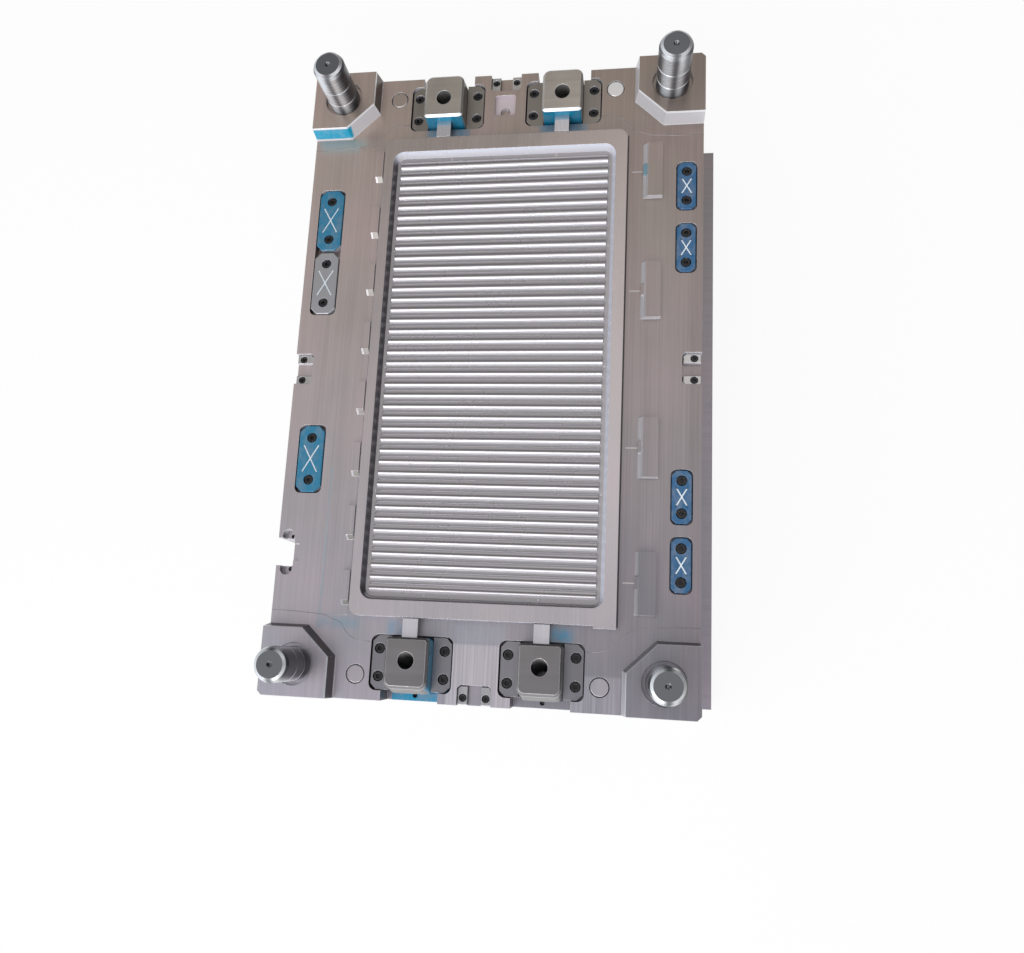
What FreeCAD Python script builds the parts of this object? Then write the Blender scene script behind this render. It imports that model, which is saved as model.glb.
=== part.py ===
"""Moving half of an injection mould for a ribbed tray, as a parametric assembly.

Frame: millimetres, +Z up out of the parting face, +Y towards the top edge, origin at the centre of
the clamp plate's underside.  Each piece is built in a frame of its own whose zero height is the face
named where the piece is made, and its Placement puts it into the mould.
"""
import FreeCAD, Part
import math
import os

import Sketcher
from FreeCAD import Placement, Rotation, Vector

# Driving dimensions: alias, number, what it is.
SIZES = [
    ("plate_width", 600, "B plate and spacer stack, across"),
    ("plate_length", 960, "all plates, along"),
    ("clamp_width", 680, "clamp plate, across"),
    ("clamp_thick", 35, "clamp plate thickness"),
    ("spacer_height", 120, "spacer block height"),
    ("spacer_width", 86, "spacer block width"),
    ("plate_thick", 100, "B plate thickness below the parting face"),
    ("fit_gap", 0.05, "radial or side gap of pieces that are bolted or pressed together"),
    ("slide_gap", 0.1, "radial or side gap of running pieces"),
    ("boss_rise", 23, "corner interlock boss above the parting face"),
    ("boss_width", 101.5, "boss along the short edge"),
    ("boss_length", 99.5, "boss along the long edge"),
    ("boss_cut_x", 43, "boss inner corner cut, across"),
    ("boss_cut_y", 41, "boss inner corner cut, along"),
    ("boss_draft", 5, "inset of the tapered boss walls at the top"),
    ("boss_corner", 6, "boss and plate outer corner radius"),
    ("guide_x", 252.5, "guide pin axis from the centre, across"),
    ("guide_y", 435.5, "guide pin axis from the centre, along"),
    ("guide_diameter", 48, "guide pin"),
    ("guide_rise", 97.5, "guide pin above the parting face"),
    ("guide_head", 58, "guide pin head diameter"),
    ("guide_head_thick", 12, "guide pin head"),
    ("guide_lead", 7, "guide pin lead end length"),
    ("guide_nose", 36, "guide pin flat nose diameter"),
    ("guide_relief", 59, "relief ring round the guide pin, diameter"),
    ("guide_relief_depth", 6, "relief ring depth"),
    ("oil_groove", 1, "oil groove depth on the guide pins"),
    ("return_x", 169, "return pin axis, across"),
    ("return_y", 445.5, "return pin axis, along"),
    ("return_diameter", 25, "return pin"),
    ("return_hole", 27, "return pin hole in the B plate"),
    ("return_head", 33, "return pin head diameter"),
    ("return_head_thick", 8, "return pin head"),
    ("insert_left", 180, "core insert, left edge from the centre"),
    ("insert_right", 189, "core insert, right edge from the centre"),
    ("insert_half", 365, "core insert, half length"),
    ("insert_rise", 18, "core insert above the parting face"),
    ("insert_seat", 45, "core insert depth in the B plate"),
    ("insert_corner", 14, "core insert corner radius"),
    ("foot_width", 30.5, "locating foot at the insert's right corner"),
    ("foot_reach", 3.5, "locating foot beyond the insert's edge"),
    ("tray_shift", 3, "tray centre right of the mould centre"),
    ("tray_width", 338, "tray opening, across"),
    ("tray_length", 684, "tray opening, along"),
    ("tray_corner", 17, "tray opening corner radius"),
    ("tray_depth", 11, "tray depth to the channel floor"),
    ("tray_draft", 24, "tray wall slope from upright, degrees"),
    ("rib_count", 40, "ribs across the tray"),
    ("rib_pitch", 16.6, "rib to rib"),
    ("rib_width", 13, "rib at its foot"),
    ("rib_height", 4.6, "rib crest above the channel floor"),
    ("rib_length", 316, "rib length"),
    ("land_left", 227.5, "left land, outer edge"),
    ("land_right", 186.5, "left land, inner edge"),
    ("land_half", 365, "left land, half length"),
    ("land_rise", 1, "left land height"),
    ("cleat_count", 8, "ramped cleats on the left land"),
    ("cleat_pitch", 93.3, "cleat to cleat"),
    ("cleat_length", 50, "cleat length at its foot"),
    ("cleat_width", 11.2, "cleat width"),
    ("cleat_x", 191, "cleat centre left of the mould centre"),
    ("cleat_rise", 8, "cleat height above the parting face"),
    ("cleat_ramp", 7, "cleat ramp run"),
    ("pad_x_low", 212.6, "gate pad, sloped side"),
    ("pad_x_high", 241, "gate pad, outer side"),
    ("pad_y_outer", 305, "outer gate pads from the centre"),
    ("pad_y_inner", 116.5, "inner gate pads from the centre"),
    ("pad_length", 86, "gate pad length"),
    ("pad_rise", 8, "gate pad height"),
    ("pad_slope", 6.5, "gate pad slope run"),
    ("pad_tab", 17, "gate pad tab length"),
    ("slide_x", 90.5, "slide centre line from the mould centre"),
    ("slide_front", 392, "slide front face from the mould centre"),
    ("slide_back", 468, "slide heel at the parting face"),
    ("slide_rise", 30, "slide above the parting face"),
    ("slide_width", 60, "slide block width"),
    ("shoe_width", 80, "slide shoe width"),
    ("shoe_height", 10, "slide shoe height"),
    ("heel_lean", 15, "heel and angle pin lean, degrees"),
    ("slide_floor", 37, "slide way floor below the parting face"),
    ("slide_travel", 12, "slide stroke outwards"),
    ("slide_front_round", 6, "slide front corner radius"),
    ("slide_heel_round", 11, "slide heel corner radius"),
    ("slide_edge", 3, "slide top edge chamfer"),
    ("angle_bore", 22.5, "angle pin bore"),
    ("angle_bore_y", 423, "angle pin bore at the slide top, from the mould centre"),
    ("way_width", 81, "slide way width"),
    ("gib_pocket_half", 58.3, "gib pocket half width"),
    ("gib_pocket_low", 389.3, "gib pocket inner end"),
    ("gib_pocket_high", 466, "gib pocket outer end"),
    ("gib_pocket_corner", 10, "gib pocket corner radius"),
    ("gib_floor", 27, "gib seat below the parting face"),
    ("gib_drop", 2.5, "gib top below the parting face"),
    ("gib_inner", 30.3, "gib inner edge from the slide centre line"),
    ("gib_width", 26, "gib width"),
    ("gib_length", 74, "gib length"),
    ("gib_corner", 8, "gib outer corner cut"),
    ("gib_screw_x", 46.2, "gib screw from the slide centre line"),
    ("gib_screw_pitch", 38, "gib screw spacing"),
    ("tongue_width", 21.5, "slide core tongue width"),
    ("tongue_rise", 17, "slide core tongue above the parting face"),
    ("tongue_reach", 26.5, "slide core tongue beyond the slide front"),
    ("tongue_seat", 14, "slide core tongue depth in the slide"),
    ("core_screw", 6, "slide core screw shank"),
    ("core_head", 10, "slide core screw head"),
    ("core_head_thick", 6, "slide core screw head height"),
    ("core_bore", 11, "counterbore for the slide core screw"),
    ("core_head_sink", 7, "slide core screw seat above the slide's underside"),
    ("core_grip", 11, "slide core screw thread in the tongue"),
    ("detent_x", 23, "ball detent from the slide centre line"),
    ("detent_y", 424, "ball detent from the mould centre"),
    ("detent_diameter", 4, "ball detent"),
    ("detent_proud", 0.9, "ball detent above the wear plate"),
    ("detent_room", 2.5, "detent slot beyond the ball's travel"),
    ("detent_slot", 1.5, "detent slot depth"),
    ("wear_plate_thick", 6, "slide way wear plate"),
    ("wear_plate_short", 4, "slide way wear plate short of the slide's heel"),
    ("escape_depth", 18, "angle pin escape bore below the wear plate"),
    ("way_hole", 7, "limit screw hole in the slide way"),
    ("way_hole_y", 472.5, "limit screw hole from the mould centre"),
    ("pin_escape", 30, "angle pin escape bore in the B plate"),
    ("block_thick", 15, "balance block thickness"),
    ("block_proud", 1, "balance block above the parting face"),
    ("block_gap", 1.5, "gap round the balance blocks"),
    ("block_cut", 9, "balance block corner cut"),
    ("wide_block_width", 38, "wide balance block, across"),
    ("wide_block_length", 100, "wide balance block, along"),
    ("wide_block_pitch", 63.4, "wide balance block screw spacing"),
    ("slim_block_width", 27.5, "slim balance block, across"),
    ("slim_block_length", 75, "slim balance block, along"),
    ("slim_block_pitch", 46, "slim balance block screw spacing"),
    ("lock_drop", 5, "side lock top below the parting face"),
    ("lock_thick", 16, "side lock plate thickness"),
    ("lock_inner", 9.3, "side lock plate, inner edge from its centre line"),
    ("lock_outer", 23.5, "side lock plate, outer edge from its centre line"),
    ("lock_depth", 26, "side lock plate length in from the plate edge"),
    ("lock_slot", 11.5, "side lock slot floor below the parting face"),
    ("lock_cut", 4, "side lock plate corner cut"),
    ("lock_screw_x", 16, "side lock screw from its centre line"),
    ("lock_screw_in", 10.5, "side lock screw in from the plate outer end"),
    ("lock_screw", 6, "side lock screw shank"),
    ("lock_head", 10, "side lock screw head"),
    ("lock_head_thick", 6, "side lock screw head height"),
    ("lock_bore", 11, "counterbore for the side lock screw"),
    ("lock_grip", 12, "side lock screw thread in the B plate"),
    ("small_screw", 8, "M8 screw shank"),
    ("small_head", 13, "M8 screw head"),
    ("small_head_thick", 8, "M8 screw head height"),
    ("small_bore", 15, "counterbore for the M8 head"),
    ("small_grip", 14, "M8 screw thread in the B plate"),
    ("mid_screw", 12, "M12 screw shank"),
    ("mid_head", 18, "M12 screw head"),
    ("mid_head_thick", 12, "M12 screw head height"),
    ("mid_bore", 20, "counterbore for the M12 head"),
    ("mid_grip", 24, "M12 screw thread length"),
    ("large_screw", 16, "M16 screw shank"),
    ("large_head", 24, "M16 screw head"),
    ("large_head_thick", 16, "M16 screw head height"),
    ("large_bore", 26, "counterbore for the M16 head"),
    ("large_grip", 35, "M16 screw thread in the B plate"),
    ("head_sink", 1, "screw head below the face it is sunk in"),
    ("thread_spare", 1, "tapped hole deeper than its screw"),
    ("screw_play", 0.5, "radial clearance of a screw in a plate it passes through"),
    ("insert_screw_x", 135, "insert screw axis, across"),
    ("insert_screw_y", 290, "outer insert screws, along"),
    ("stack_x", 257, "stack screw axis, across"),
    ("stack_y", 330, "outer stack screws, along"),
    ("stack_y_inner", 110, "inner stack screws, along"),
    ("dowel_y", 220, "stack dowel, along"),
    ("dowel_diameter", 16, "stack dowel"),
    ("dowel_grip", 30, "stack dowel in the B plate"),
    ("ejector_width", 400, "ejector plates, across"),
    ("ejector_length", 948, "ejector plates, along"),
    ("ejector_thick", 25, "ejector plate"),
    ("retainer_thick", 20, "ejector retainer plate"),
    ("ejector_stroke", 45, "ejector stroke"),
    ("ejector_screw_x", 180, "side ejector plate screws, across"),
    ("ejector_screw_y", 120, "side ejector plate screws, along"),
    ("ejector_screw_x_end", 60, "end ejector plate screws, across"),
    ("ejector_screw_y_end", 430, "end ejector plate screws, along"),
    ("stop_button", 25, "stop button diameter"),
    ("stop_thick", 5, "stop button height"),
    ("stop_x", 178, "stop button axis, across"),
    ("stop_y", 395, "outer stop buttons, along"),
    ("stop_y_inner", 180, "inner stop buttons, along"),
    ("pillar_diameter", 50, "support pillar"),
    ("pillar_gap", 2, "clearance round a support pillar"),
    ("pillar_x", 90, "support pillar axis, across"),
    ("pillar_y", 220, "support pillar axis, along"),
    ("rod_bore", 50, "ejector rod bore in the clamp plate"),
    ("ejector_guide", 25, "ejector guide pin"),
    ("ejector_guide_x", 150, "ejector guide pin axis, across"),
    ("ejector_guide_y", 345, "ejector guide pin axis, along"),
    ("bush_diameter", 35, "ejector guide bush"),
    ("bush_flange", 41, "ejector guide bush flange"),
    ("bush_flange_thick", 6, "ejector guide bush flange"),
    ("spring_outer", 50, "return spring outside diameter"),
    ("spring_wire_wide", 9, "return spring wire, radial"),
    ("spring_wire_tall", 6, "return spring wire, axial"),
    ("spring_turns", 7, "return spring turns"),
    ("spring_pocket", 54, "return spring pocket in the B plate"),
    ("spring_sunk", 30, "return spring pocket depth"),
    ("knock_diameter", 4, "ejector pin"),
    ("knock_head", 8, "ejector pin head"),
    ("knock_head_thick", 4, "ejector pin head height"),
    ("knock_bore", 5, "ejector pin escape bore in the plates"),
    ("knock_y", 185, "side ejector pins, along"),
    ("knock_x", 80, "end ejector pins from the tray centre, across"),
    ("limit_diameter", 40, "stroke limit post"),
    ("limit_x", 40, "stroke limit post axis, across"),
    ("limit_y", 345, "stroke limit post axis, along"),
    ("limit_spigot", 12, "stroke limit post spigot"),
    ("eyebolt_bore", 26.5, "M30 lifting thread, core diameter"),
    ("eyebolt_depth", 45, "M30 lifting thread depth"),
    ("eyebolt_height", 200, "lifting thread above the clamp plate's underside"),
    ("port_width", 32, "top recess, across"),
    ("port_low", 410, "top recess, lower edge"),
    ("port_high", 444, "top recess, upper edge"),
    ("port_depth", 6, "top recess depth"),
    ("port_hole", 15, "hole in the top recess"),
    ("notch_depth", 60, "left edge notch depth"),
    ("notch_reach", 25, "left edge notch in from the edge"),
    ("notch_low", 298, "left edge notch, lower edge below the centre"),
    ("notch_high", 258, "left edge notch, upper edge below the centre"),
    ("notch_bore", 18, "screw seats beside the notch"),
    ("notch_bore_depth", 10, "screw seat depth"),
    ("notch_hole", 7, "screw holes beside the notch"),
]


class Size:
    """A length, with its number and the formula that binds it to the sheet."""

    def __init__(self, number, text=None):
        self.number = float(number)
        self.text = repr(number) if text is None else text

    @staticmethod
    def of(other):
        return other if isinstance(other, Size) else Size(other)

    def __add__(self, other):
        other = Size.of(other)
        return Size(self.number + other.number, f"({self.text} + {other.text})")

    def __sub__(self, other):
        other = Size.of(other)
        return Size(self.number - other.number, f"({self.text} - {other.text})")

    def __mul__(self, other):
        other = Size.of(other)
        return Size(self.number * other.number, f"({self.text} * {other.text})")

    def __truediv__(self, other):
        other = Size.of(other)
        return Size(self.number / other.number, f"({self.text} / {other.text})")

    def __neg__(self):
        return Size(-self.number, f"(0 - {self.text})")

    def __radd__(self, other):
        return Size.of(other) + self

    def __rsub__(self, other):
        return Size.of(other) - self

    def __rmul__(self, other):
        return Size.of(other) * self


def tangent(degrees):
    return Size(math.tan(math.radians(degrees.number)), f"tan({degrees.text} * 1 deg)")


def hypotenuse(a, b):
    return Size(math.hypot(a.number, b.number), f"sqrt({a.text}^2 + {b.text}^2)")


DOC = FreeCAD.newDocument("MouldHalf")
SHEET = DOC.addObject("Spreadsheet::Sheet", "Sizes")


class Sheet:
    """The driving dimensions as Size values, one attribute each."""


S = Sheet()
for row, (alias, number, meaning) in enumerate(SIZES, 1):
    SHEET.set(f"A{row}", meaning)
    SHEET.set(f"B{row}", str(number))
    SHEET.setAlias(f"B{row}", alias)
    setattr(S, alias, Size(number, f"Sizes.{alias}"))
DOC.recompute()

# Heights and lines that several pieces share.
STACK_LOW = S.clamp_thick
STACK_TOP = S.clamp_thick + S.spacer_height
PARTING = STACK_TOP + S.plate_thick
EJECTOR_LOW = S.clamp_thick + S.stop_thick
RETAINER_LOW = EJECTOR_LOW + S.ejector_thick
RETAINER_TOP = RETAINER_LOW + S.retainer_thick
TRAY_FLOOR = S.insert_rise - S.tray_depth
HALF_WIDTH = S.plate_width / 2
HALF_LENGTH = S.plate_length / 2
SIDES = {"left": -1, "right": 1}
ENDS = {"top": 1, "bottom": -1}
CORNERS = {f"{end}_{side}": (sx, sy) for end, sy in ENDS.items() for side, sx in SIDES.items()}
HEX_KEY = 0.52          # key width as a share of the head's diameter
NODES = []


# ---------------------------------------------------------------- document helpers

def bind(thing, **sizes):
    for name, size in sizes.items():
        thing.setExpression(name, Size.of(size).text)
    return thing


def place(thing, x=0, y=0, z=0, turn=0):
    """Put a piece at a bound position, turned by a number of degrees about Z."""
    thing.Placement = Placement(Vector(), Rotation(Vector(0, 0, 1), turn))
    for axis, size in zip("xyz", (x, y, z)):
        thing.setExpression(f".Placement.Base.{axis}", Size.of(size).text)
    return thing


def node(thing, label):
    """Name a finished piece as a node of the assembly."""
    thing.Label = label
    NODES.append(thing)
    return thing


def new_body(name):
    return DOC.addObject("PartDesign::Body", name)


def new_sketch(body, name, plane="XY_Plane", lift=0):
    support = next(f for f in body.Origin.OriginFeatures if f.Role == plane)
    sketch = body.newObject("Sketcher::SketchObject", name)
    sketch.AttachmentSupport = [(support, "")]
    sketch.MapMode = "FlatFace"
    sketch.setExpression(".AttachmentOffset.Base.z", Size.of(lift).text)
    return sketch


def pin_point(sketch, geometry, point, x, y):
    """Bind a point of the sketch to its two distances from the sketch's origin."""
    for kind, size in (("DistanceX", Size.of(x)), ("DistanceY", Size.of(y))):
        index = sketch.addConstraint(Sketcher.Constraint(kind, -1, 1, geometry, point, size.number))
        name = f"d{index}"
        sketch.renameConstraint(index, name)
        sketch.setExpression(f"Constraints.{name}", size.text)


def circle(sketch, x, y, diameter):
    x, y, radius = Size.of(x), Size.of(y), diameter / 2
    ring = sketch.addGeometry(Part.Circle(Vector(x.number, y.number, 0), Vector(0, 0, 1), radius.number))
    pin_point(sketch, ring, 3, x, y)
    index = sketch.addConstraint(Sketcher.Constraint("Radius", ring, radius.number))
    sketch.renameConstraint(index, f"r{index}")
    sketch.setExpression(f"Constraints.r{index}", radius.text)


def polygon(sketch, points):
    """A closed outline with straight sides through bound corners."""
    points = [(Size.of(x), Size.of(y)) for x, y in points]
    spots = [Vector(x.number, y.number, 0) for x, y in points]
    lines = [sketch.addGeometry(Part.LineSegment(spots[i], spots[(i + 1) % len(spots)]))
             for i in range(len(spots))]
    for i, line in enumerate(lines):
        sketch.addConstraint(Sketcher.Constraint("Coincident", line, 2, lines[(i + 1) % len(lines)], 1))
        pin_point(sketch, line, 1, *points[i])


def rectangle(sketch, x_low, x_high, y_low, y_high):
    polygon(sketch, [(x_low, y_low), (x_high, y_low), (x_high, y_high), (x_low, y_high)])


def rounded(sketch, x_low, x_high, y_low, y_high, radius):
    """A rectangle whose corners are arcs of one radius."""
    x_low, x_high, y_low, y_high = map(Size.of, (x_low, x_high, y_low, y_high))
    centres = [(x_high - radius, y_low + radius), (x_high - radius, y_high - radius),
               (x_low + radius, y_high - radius), (x_low + radius, y_low + radius)]
    quarter = math.pi / 2
    arcs = []
    for k, (x, y) in enumerate(centres):
        ring = Part.Circle(Vector(x.number, y.number, 0), Vector(0, 0, 1), radius.number)
        arc = sketch.addGeometry(Part.ArcOfCircle(ring, (k - 1) * quarter, k * quarter))
        pin_point(sketch, arc, 3, x, y)
        index = sketch.addConstraint(Sketcher.Constraint("Radius", arc, radius.number))
        sketch.renameConstraint(index, f"r{index}")
        sketch.setExpression(f"Constraints.r{index}", radius.text)
        arcs.append(arc)
    for k, arc in enumerate(arcs):
        after = arcs[(k + 1) % 4]
        start = sketch.getPoint(arc, 2)
        end = sketch.getPoint(after, 1)
        line = sketch.addGeometry(Part.LineSegment(start, end))
        sketch.addConstraint(Sketcher.Constraint("Tangent", arc, 2, line, 1))
        sketch.addConstraint(Sketcher.Constraint("Tangent", line, 2, after, 1))


def pad(body, name, sketch, length, both_ways=False, taper=None, down=False):
    feature = body.newObject("PartDesign::Pad", name)
    feature.Profile = sketch
    feature.Reversed = down
    feature.SideType = "Symmetric" if both_ways else "One side"
    bind(feature, Length=length)
    if taper is not None:
        bind(feature, TaperAngle=taper)
    DOC.recompute()
    return feature


def pocket(body, name, sketch, depth, taper=None, up=False):
    before = body.Shape.Volume
    feature = body.newObject("PartDesign::Pocket", name)
    feature.Profile = sketch
    feature.Refine = False
    feature.Reversed = up
    bind(feature, Length=depth)
    if taper is not None:
        bind(feature, TaperAngle=taper)
    DOC.recompute()
    if not body.Shape.Volume < before:
        raise ValueError(f"{body.Name}.{name} cuts nothing")
    return feature


def new_cutter(name):
    """A body that holds a family of cuts as solids, which may stand apart from each other."""
    cutter = new_body(name)
    cutter.AllowCompound = True
    return cutter


def hollow(cutter, name, sketch, depth, up=False):
    """Add one family of cuts to a cutter: from the sketch's height downwards, or upwards."""
    return pad(cutter, name, sketch, depth, down=not up)


def cut_away(name, base, cutters):
    """Cut one cutter after another from a piece, and stop if one takes nothing off."""
    for cutter in cutters:
        result = DOC.addObject("Part::Cut", f"{name}_less_{cutter.Name}")
        result.Base, result.Tool = base, cutter
        result.Refine = False
        DOC.recompute()
        if not result.Shape.Volume < base.Shape.Volume:
            raise ValueError(f"{cutter.Name} cuts nothing")
        base = result
    return base


def revolve(body, name, points):
    """Turn a profile of (radius, height) corners about the body's Z axis."""
    sketch = new_sketch(body, f"{name}_profile", "XZ_Plane")
    polygon(sketch, points)
    feature = body.newObject("PartDesign::Revolution", name)
    feature.Profile = sketch
    feature.ReferenceAxis = (sketch, ["V_Axis"])
    feature.Angle = 360
    DOC.recompute()
    return feature


def edges_where(shape, test):
    return [f"Edge{i}" for i, edge in enumerate(shape.Edges, 1) if test(edge)]


def dress(body, kind, name, base, edges, size):
    """A PartDesign Fillet or Chamfer on chosen edges."""
    feature = body.newObject(f"PartDesign::{kind}", name)
    feature.Base = (base, edges)
    bind(feature, **{"Radius" if kind == "Fillet" else "Size": size})
    DOC.recompute()
    return feature


def upright(edge, x=None, y=None, slack=0.02):
    """True for a straight upright edge, at a given x or y where one is stated."""
    low, high = edge.Vertexes[0].Point, edge.Vertexes[-1].Point
    if abs(low.z - high.z) < slack or abs(low.x - high.x) + abs(low.y - high.y) > slack:
        return False
    near_x = x is None or abs(abs(low.x) - x) < slack
    return near_x and (y is None or abs(low.y - y) < slack)


def group(label, master, spots):
    """Copies of one piece at bound spots (x, y, z, turn), joined as a node of separate solids."""
    copies = []
    for number, spot in enumerate(spots, 1):
        copy = DOC.addObject("App::Link", f"{label}_{number}")
        copy.LinkedObject = master
        copies.append(place(copy, *spot))
    whole = DOC.addObject("Part::Compound", label)
    whole.Links = copies
    return node(whole, label)


def four(x, y):
    return [(sx * x, sy * y) for sx in SIDES.values() for sy in ENDS.values()]


# ---------------------------------------------------------------- where repeated features sit

def slide_line(sx):
    return sx * S.slide_x


WIDE_BLOCKS = {"wear_plate_left_1": (-265.5, 241.5), "wear_plate_left_2": (-265.5, 137.5),
               "wear_plate_left_3": (-263, -139)}
SLIM_BLOCKS = {"wear_plate_right_1": (276, 280), "wear_plate_right_2": (276, 182.5),
               "wear_plate_right_3": (273.5, -185), "wear_plate_right_4": (273.5, -279)}
STACK_SCREWS = four(S.stack_x, S.stack_y) + four(S.stack_x, S.stack_y_inner)
DOWELS = four(S.stack_x, S.dowel_y)
PILLARS = four(S.pillar_x, S.pillar_y) + [(-S.pillar_x, 0), (S.pillar_x, 0)]
INSERT_SCREWS = four(S.insert_screw_x, S.insert_screw_y) + [(-S.insert_screw_x, 0), (S.insert_screw_x, 0)]
EJECTOR_SCREWS = four(S.ejector_screw_x, S.ejector_screw_y) + four(S.ejector_screw_x_end, S.ejector_screw_y_end)
STOP_BUTTONS = four(S.stop_x, S.stop_y) + four(S.stop_x, S.stop_y_inner)
# Ejector pins stand in the flat channel between the ribs and the tray wall.
TRAY_RUN = S.tray_depth * tangent(S.tray_draft)
CHANNEL_X = (S.rib_length / 2 + S.tray_width / 2 - TRAY_RUN) / 2
RIB_END = (S.rib_count - 1) * S.rib_pitch / 2 + S.rib_width / 2
CHANNEL_Y = (RIB_END + S.tray_length / 2 - TRAY_RUN) / 2
KNOCKS = [(S.tray_shift + x, y) for x, y in four(CHANNEL_X, S.knock_y) + four(S.knock_x, CHANNEL_Y)
          + [(-CHANNEL_X, Size(0)), (CHANNEL_X, Size(0))]]


# ---------------------------------------------------------------- fasteners

def cap_screw(name, shank, head, head_thick, length):
    """Socket head screw, head up, under-head face at zero height, with a hexagon socket."""
    body = new_body(name)
    edge = head * 0.06
    revolve(body, f"{name}_turned", [
        (0, -length), (shank / 2 - edge, -length), (shank / 2, edge - length), (shank / 2, 0), (head / 2, 0),
        (head / 2, head_thick - edge), (head / 2 - edge, head_thick), (0, head_thick)])
    socket = new_sketch(body, f"{name}_key", lift=head_thick)
    reach = head * (HEX_KEY / math.sqrt(3))
    polygon(socket, [(reach * math.cos(k * math.pi / 3), reach * math.sin(k * math.pi / 3)) for k in range(6)])
    pocket(body, f"{name}_socket", socket, head_thick * 0.5)
    return body


# ---------------------------------------------------------------- core side plates

def b_plate():
    """The B plate, zero height at the parting face: a raised blank less four families of cuts."""
    blank = new_body("b_plate_blank")
    outline = new_sketch(blank, "plate_outline")
    rounded(outline, -HALF_WIDTH, HALF_WIDTH, -HALF_LENGTH, HALF_LENGTH, S.boss_corner)
    pad(blank, "plate", outline, S.plate_thick, down=True)
    for corner, (sx, sy) in CORNERS.items():
        interlock_boss(blank, corner, sx, sy)
    left_land(blank)
    for name, y in (("a", S.pad_y_outer), ("b", S.pad_y_inner), ("c", -S.pad_y_inner), ("d", -S.pad_y_outer)):
        gate_pad(blank, name, y)
    cutters = []
    for name, family in (("slide_cuts", slide_ways), ("seat_cuts", plate_seats), ("edge_cuts", edge_features),
                         ("bore_cuts", through_bores)):
        cutter = new_cutter(name)
        family(cutter)
        cutters.append(cutter)
    return node(place(cut_away("plate", blank, cutters), z=PARTING), "b_plate")


def plate_seats(body):
    """Seats sunk in the parting face for the insert, the balance blocks and the side locks."""
    insert_pocket(body)
    block_pockets(body)
    lock_pockets(body)


def interlock_boss(body, corner, sx, sy):
    """A tapered corner boss: its two inner walls and the cut between them lean inwards to the top."""
    rings = []
    for level, inset in ((0, Size(0)), (S.boss_rise, S.boss_draft)):
        x_in = HALF_WIDTH - S.boss_width + inset
        y_in = HALF_LENGTH - S.boss_length + inset
        slant = inset * 0.41
        ring = new_sketch(body, f"boss_{corner}_{len(rings)}", lift=level)
        points = [(x_in, HALF_LENGTH), (x_in, y_in + S.boss_cut_y - slant),
                  (x_in + S.boss_cut_x - slant, y_in), (HALF_WIDTH, y_in),
                  (HALF_WIDTH, HALF_LENGTH - S.boss_corner), (HALF_WIDTH - S.boss_corner, HALF_LENGTH)]
        polygon(ring, [(sx * x, sy * y) for x, y in points])
        rings.append(ring)
    loft = body.newObject("PartDesign::AdditiveLoft", f"boss_{corner}")
    loft.Profile = rings[0]
    loft.Sections = [rings[1]]
    loft.Ruled = True
    DOC.recompute()


def insert_pocket(body):
    """Pocket for the core insert, with its locating foot at the lower right."""
    gap = S.fit_gap
    seat = new_sketch(body, "insert_hollow")
    rounded(seat, -S.insert_left - gap, S.insert_right + gap, -S.insert_half - gap, S.insert_half + gap,
            S.insert_corner)
    hollow(body, "insert_seat", seat, S.insert_seat)
    foot = new_sketch(body, "foot_hollow")
    rectangle(foot, S.insert_right - S.foot_width - gap, S.insert_right + gap,
              -S.insert_half - S.foot_reach - gap, 2 * S.insert_corner - S.insert_half)
    hollow(body, "foot_seat", foot, S.insert_seat)


def left_land(body):
    """The low land along the insert's left side, with its row of ramped cleats."""
    land = new_sketch(body, "land_outline")
    rectangle(land, -S.land_left, -S.land_right, -S.land_half, S.land_half)
    pad(body, "land", land, S.land_rise)
    cleats = new_sketch(body, "cleat_profiles", "YZ_Plane", -S.cleat_x - S.cleat_width / 2)
    for k in range(int(S.cleat_count.number)):
        low = (k - (S.cleat_count - 1) / 2) * S.cleat_pitch - S.cleat_length / 2
        polygon(cleats, [(low, 0), (low + S.cleat_length, 0), (low + S.cleat_length, S.cleat_rise),
                         (low + S.cleat_ramp, S.cleat_rise)])
    pad(body, "cleats", cleats, S.cleat_width)


def gate_pad(body, name, y):
    """A raised gate pad with a sloped inner side, bridged by a square tab at its middle."""
    half = S.pad_length / 2
    slope = new_sketch(body, f"pad_{name}_profile", "XZ_Plane", -y)
    polygon(slope, [(S.pad_x_low, 0), (S.pad_x_high, 0), (S.pad_x_high, S.pad_rise),
                    (S.pad_x_low + S.pad_slope, S.pad_rise)])
    pad(body, f"pad_{name}", slope, 2 * half, both_ways=True)
    tab = new_sketch(body, f"pad_{name}_tab_outline")
    rectangle(tab, S.pad_x_low, S.pad_x_low + S.pad_slope, y - S.pad_tab / 2, y + S.pad_tab / 2)
    pad(body, f"pad_{name}_tab", tab, 0.75 * S.pad_rise)


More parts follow.
